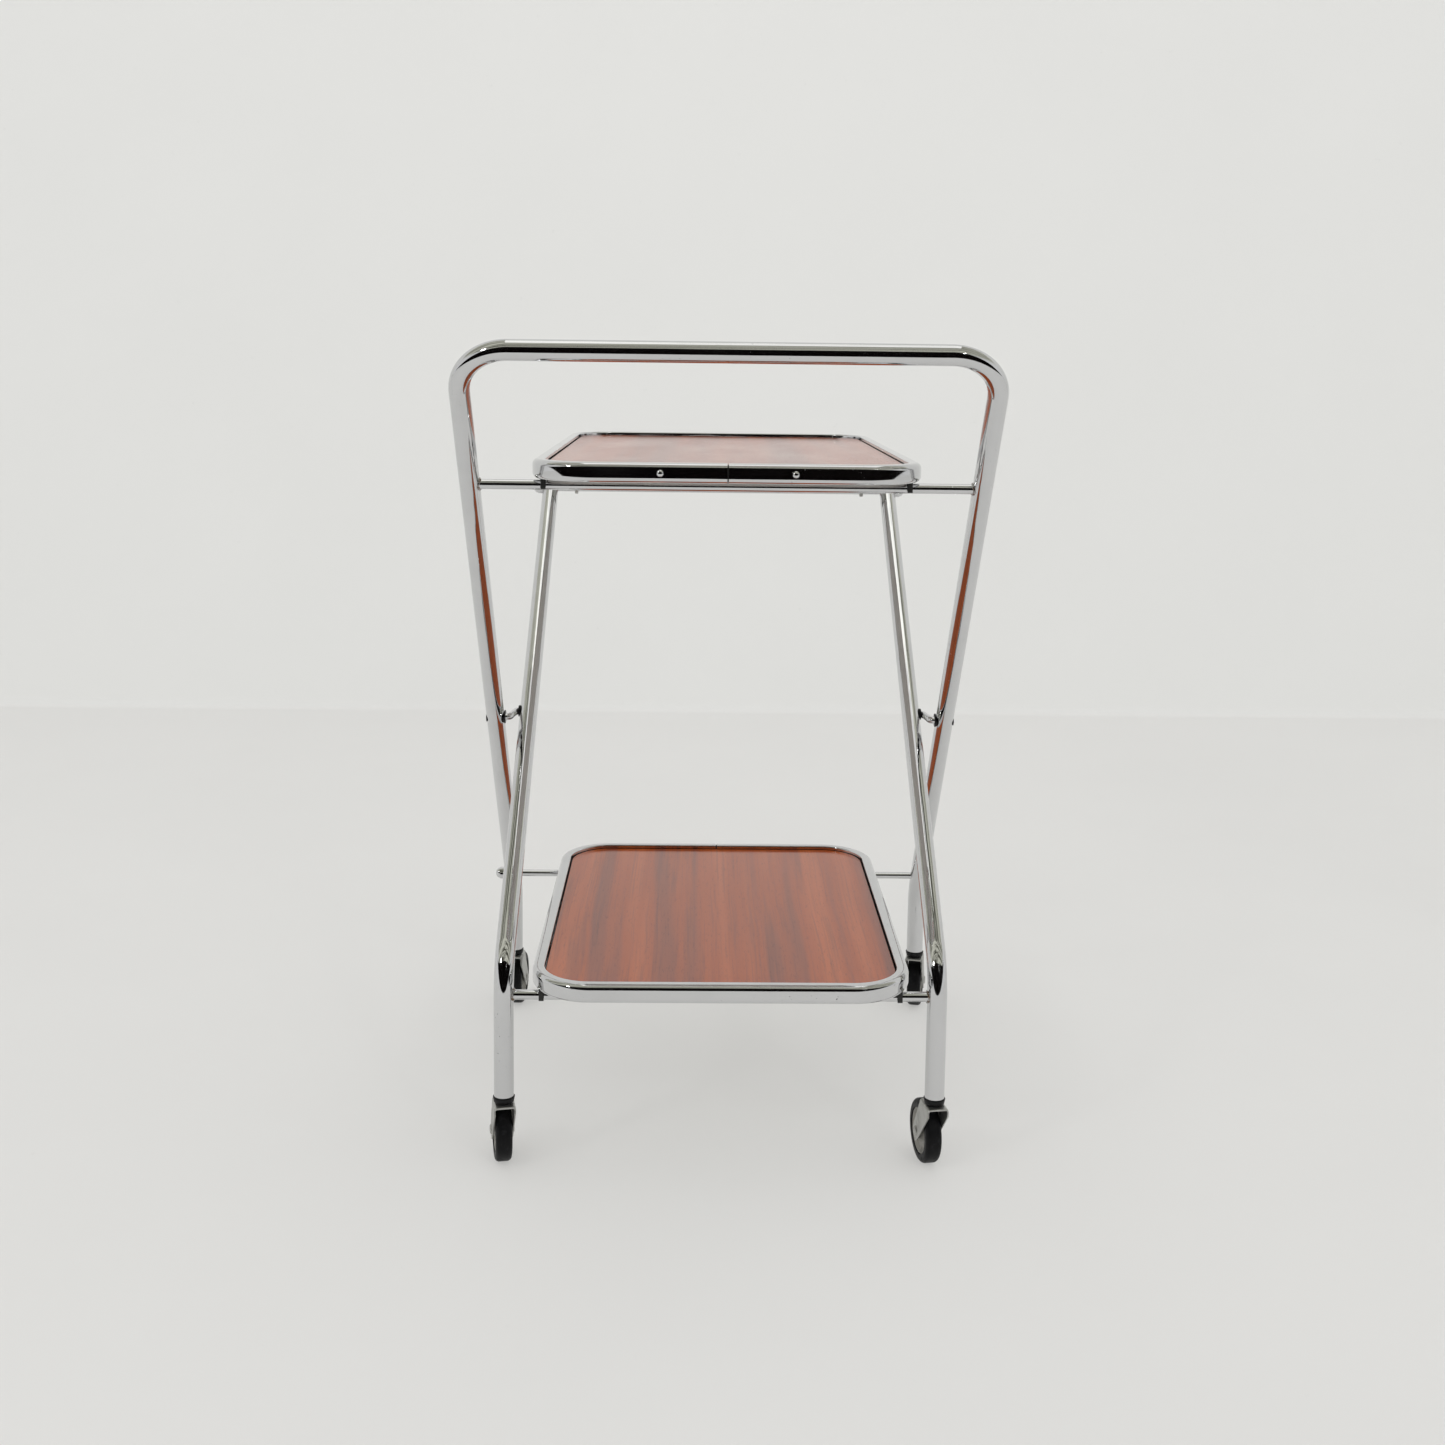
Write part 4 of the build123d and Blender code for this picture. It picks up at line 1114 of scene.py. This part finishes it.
def stage_finish(name, tint):
    """A pale matt coat with faint mottling. Seen straight or in metal and glass, it is partly its own plain
    colour, so that shadows on it stay light."""
    made, paint = new_material(name)
    where = paint.place()
    patch = paint.noise(where, 2.5, 5.0)
    scuff = paint.noise(where, 46.0, 6.0, 0.7).smooth(0.66, 0.74)
    tone = paint.blend(scuff * 0.5, paint.blend(patch, rgba(tint, 0.965), rgba(tint)), rgba(tint, 0.9))
    inputs = {"Base Color": tone, "Roughness": 0.9, "Specular IOR Level": 0.2}
    coat = paint.node("ShaderNodeBsdfPrincipled", None, inputs)
    plain = paint.node("ShaderNodeEmission", None, tone, COAT_GLOW)
    rays = paint.node("ShaderNodeLightPath").socket.node.outputs
    seen = sum(Wire(paint, rays[kind]) for kind in ("Is Camera Ray", "Is Glossy Ray", "Is Transmission Ray"))
    both = paint.node("ShaderNodeMixShader", None, seen * COAT_GLOW_SHARE, coat, plain)
    paint.node("ShaderNodeOutputMaterial", None, {"Surface": both})
    return made


@finish_named("dark_band", {"Base Color": BAND_COLOUR, "Roughness": 1.0, "Specular IOR Level": 0.0})
def dark_cloth(paint, looks):
    """Plain matt black, the same all over."""
    return {}


def add_sheet(name, points, finishes, kinds):
    """A stage surface from a grid of points."""
    faces = grid_faces(*points.shape[:2], 0, False, False).tolist()
    made = mesh_object(name, points, faces, kinds, finishes)
    return made


def add_room():
    """Floor and wall as one sheet with a small cove: its line in the YZ plane is drawn out along X."""
    looks = settings().looks
    cove = arc((WALL_Y - COVE_R, COVE_R), COVE_R, -pi / 2, 0, 5)
    line = np.vstack([[(-ROOM, 0)], cove, [(WALL_Y, ROOM / 2)]])
    points = np.stack([np.stack([np.full(len(line), x), *line.T], -1) for x in (-ROOM, ROOM)], 1)
    coats = [stage_finish("floor_coat", looks.floor), stage_finish("wall_coat", looks.wall)]
    add_sheet("room", points, coats, [0, 0, 0, 1, 1, 1])


def add_dark_band():
    """The dark part of the room behind the viewer, seen only in the polished metal. It stands on an arc
    round the trolley. Its top falls with the square of the cosine of the turn, and its foot rises with
    the square of the sine, until they meet at the sides."""
    turn = np.linspace(-pi / 2, pi / 2, 49)
    top = BAND_SIDE_Z + (BAND_TOP_Z - BAND_SIDE_Z) * np.cos(turn) ** 2
    foot = BAND_SIDE_Z * np.sin(turn) ** 2
    around = np.stack([BAND_R * np.sin(turn), -BAND_R * np.cos(turn)], -1)
    points = np.stack([np.column_stack([around, z]) for z in (foot, top)], 1)
    band = add_sheet("dark_band", points, [dark_cloth()], [0] * (len(turn) - 1))
    band.visible_camera = band.visible_diffuse = band.visible_shadow = False


def light_world():
    """An even pale room that is a little brighter towards the horizon. Polished metal sees a greyer
    ceiling with a few dim beams instead."""
    world = bpy.data.worlds.new("room_light")
    world.use_nodes = True
    bpy.context.scene.world = world
    paint = Paint(world.node_tree)
    x, y, z = paint.split(paint.node("ShaderNodeTexCoord", output=0))
    sky = paint.node("ShaderNodeCombineXYZ", None, x * 0.25, y / (z + 0.05) * 1.9, 0.0)
    beams = paint.noise(sky, 3.4, 3.0, 0.7)
    ceiling = z.smooth(0.26, 0.50)
    tint = paint.blend(beams.smooth(0.40, 0.60), MIRRORED_CEILING, MIRRORED_BEAMS)
    seen = paint.blend(ceiling, MIRRORED_WALLS, tint)
    even = paint.blend(z.smooth(0.0, 0.9), HORIZON_LIGHT, OVERHEAD_LIGHT)
    glossy = Wire(paint, paint.node("ShaderNodeLightPath").socket.node.outputs["Is Glossy Ray"])
    around = paint.node("ShaderNodeBackground", None, even, 1.0)
    mirrored = paint.node("ShaderNodeBackground", None, seen, 1.0)
    both = paint.node("ShaderNodeMixShader", None, glossy, around, mirrored)
    paint.node("ShaderNodeOutputWorld", None, {"Surface": both})


class TROLLEY_OT_stage(bpy.types.Operator):
    """Adds the floor and backdrop, the camera and the soft light"""

    bl_idname = "trolley.stage"
    bl_label = "Stage"

    def execute(self, context):
        add_room()
        add_dark_band()
        add_camera()
        light_world()
        for lamp in LAMPS:
            add_lamp(*lamp)
        context.scene.view_settings.view_transform = "Standard"
        return {"FINISHED"}


BUILDERS = (
    TROLLEY_OT_outer_frame, TROLLEY_OT_inner_frame, TROLLEY_OT_pivots, TROLLEY_OT_trays,
    TROLLEY_OT_castors, TROLLEY_OT_fixings, TROLLEY_OT_stage,
)


class TROLLEY_PT_panel(bpy.types.Panel):
    """Lists the trolley's operators"""

    bl_idname = "TROLLEY_PT_panel"
    bl_label = "Serving trolley"
    bl_space_type = "VIEW_3D"
    bl_region_type = "UI"
    bl_category = "Trolley"

    def draw(self, context):
        for builder in BUILDERS:
            self.layout.operator(builder.bl_idname)


CLASSES = (FrameSizes, TraySizes, CastorSizes, TrolleyLooks, TrolleySettings, *BUILDERS, TROLLEY_PT_panel)


def register():
    """Adds the classes and the scene's trolley settings."""
    for cls in CLASSES:
        bpy.utils.register_class(cls)
    bpy.types.Scene.trolley = PointerProperty(type=TrolleySettings)


def unregister():
    """Takes the settings and the classes away again."""
    del bpy.types.Scene.trolley
    for cls in reversed(CLASSES):
        bpy.utils.unregister_class(cls)


def main():
    """Builds everything in order."""
    register()
    bpy.ops.trolley.outer_frame()
    bpy.ops.trolley.inner_frame()
    bpy.ops.trolley.pivots()
    bpy.ops.trolley.trays()
    bpy.ops.trolley.castors()
    bpy.ops.trolley.fixings()
    bpy.ops.trolley.stage()


if __name__ == "__main__":
    main()
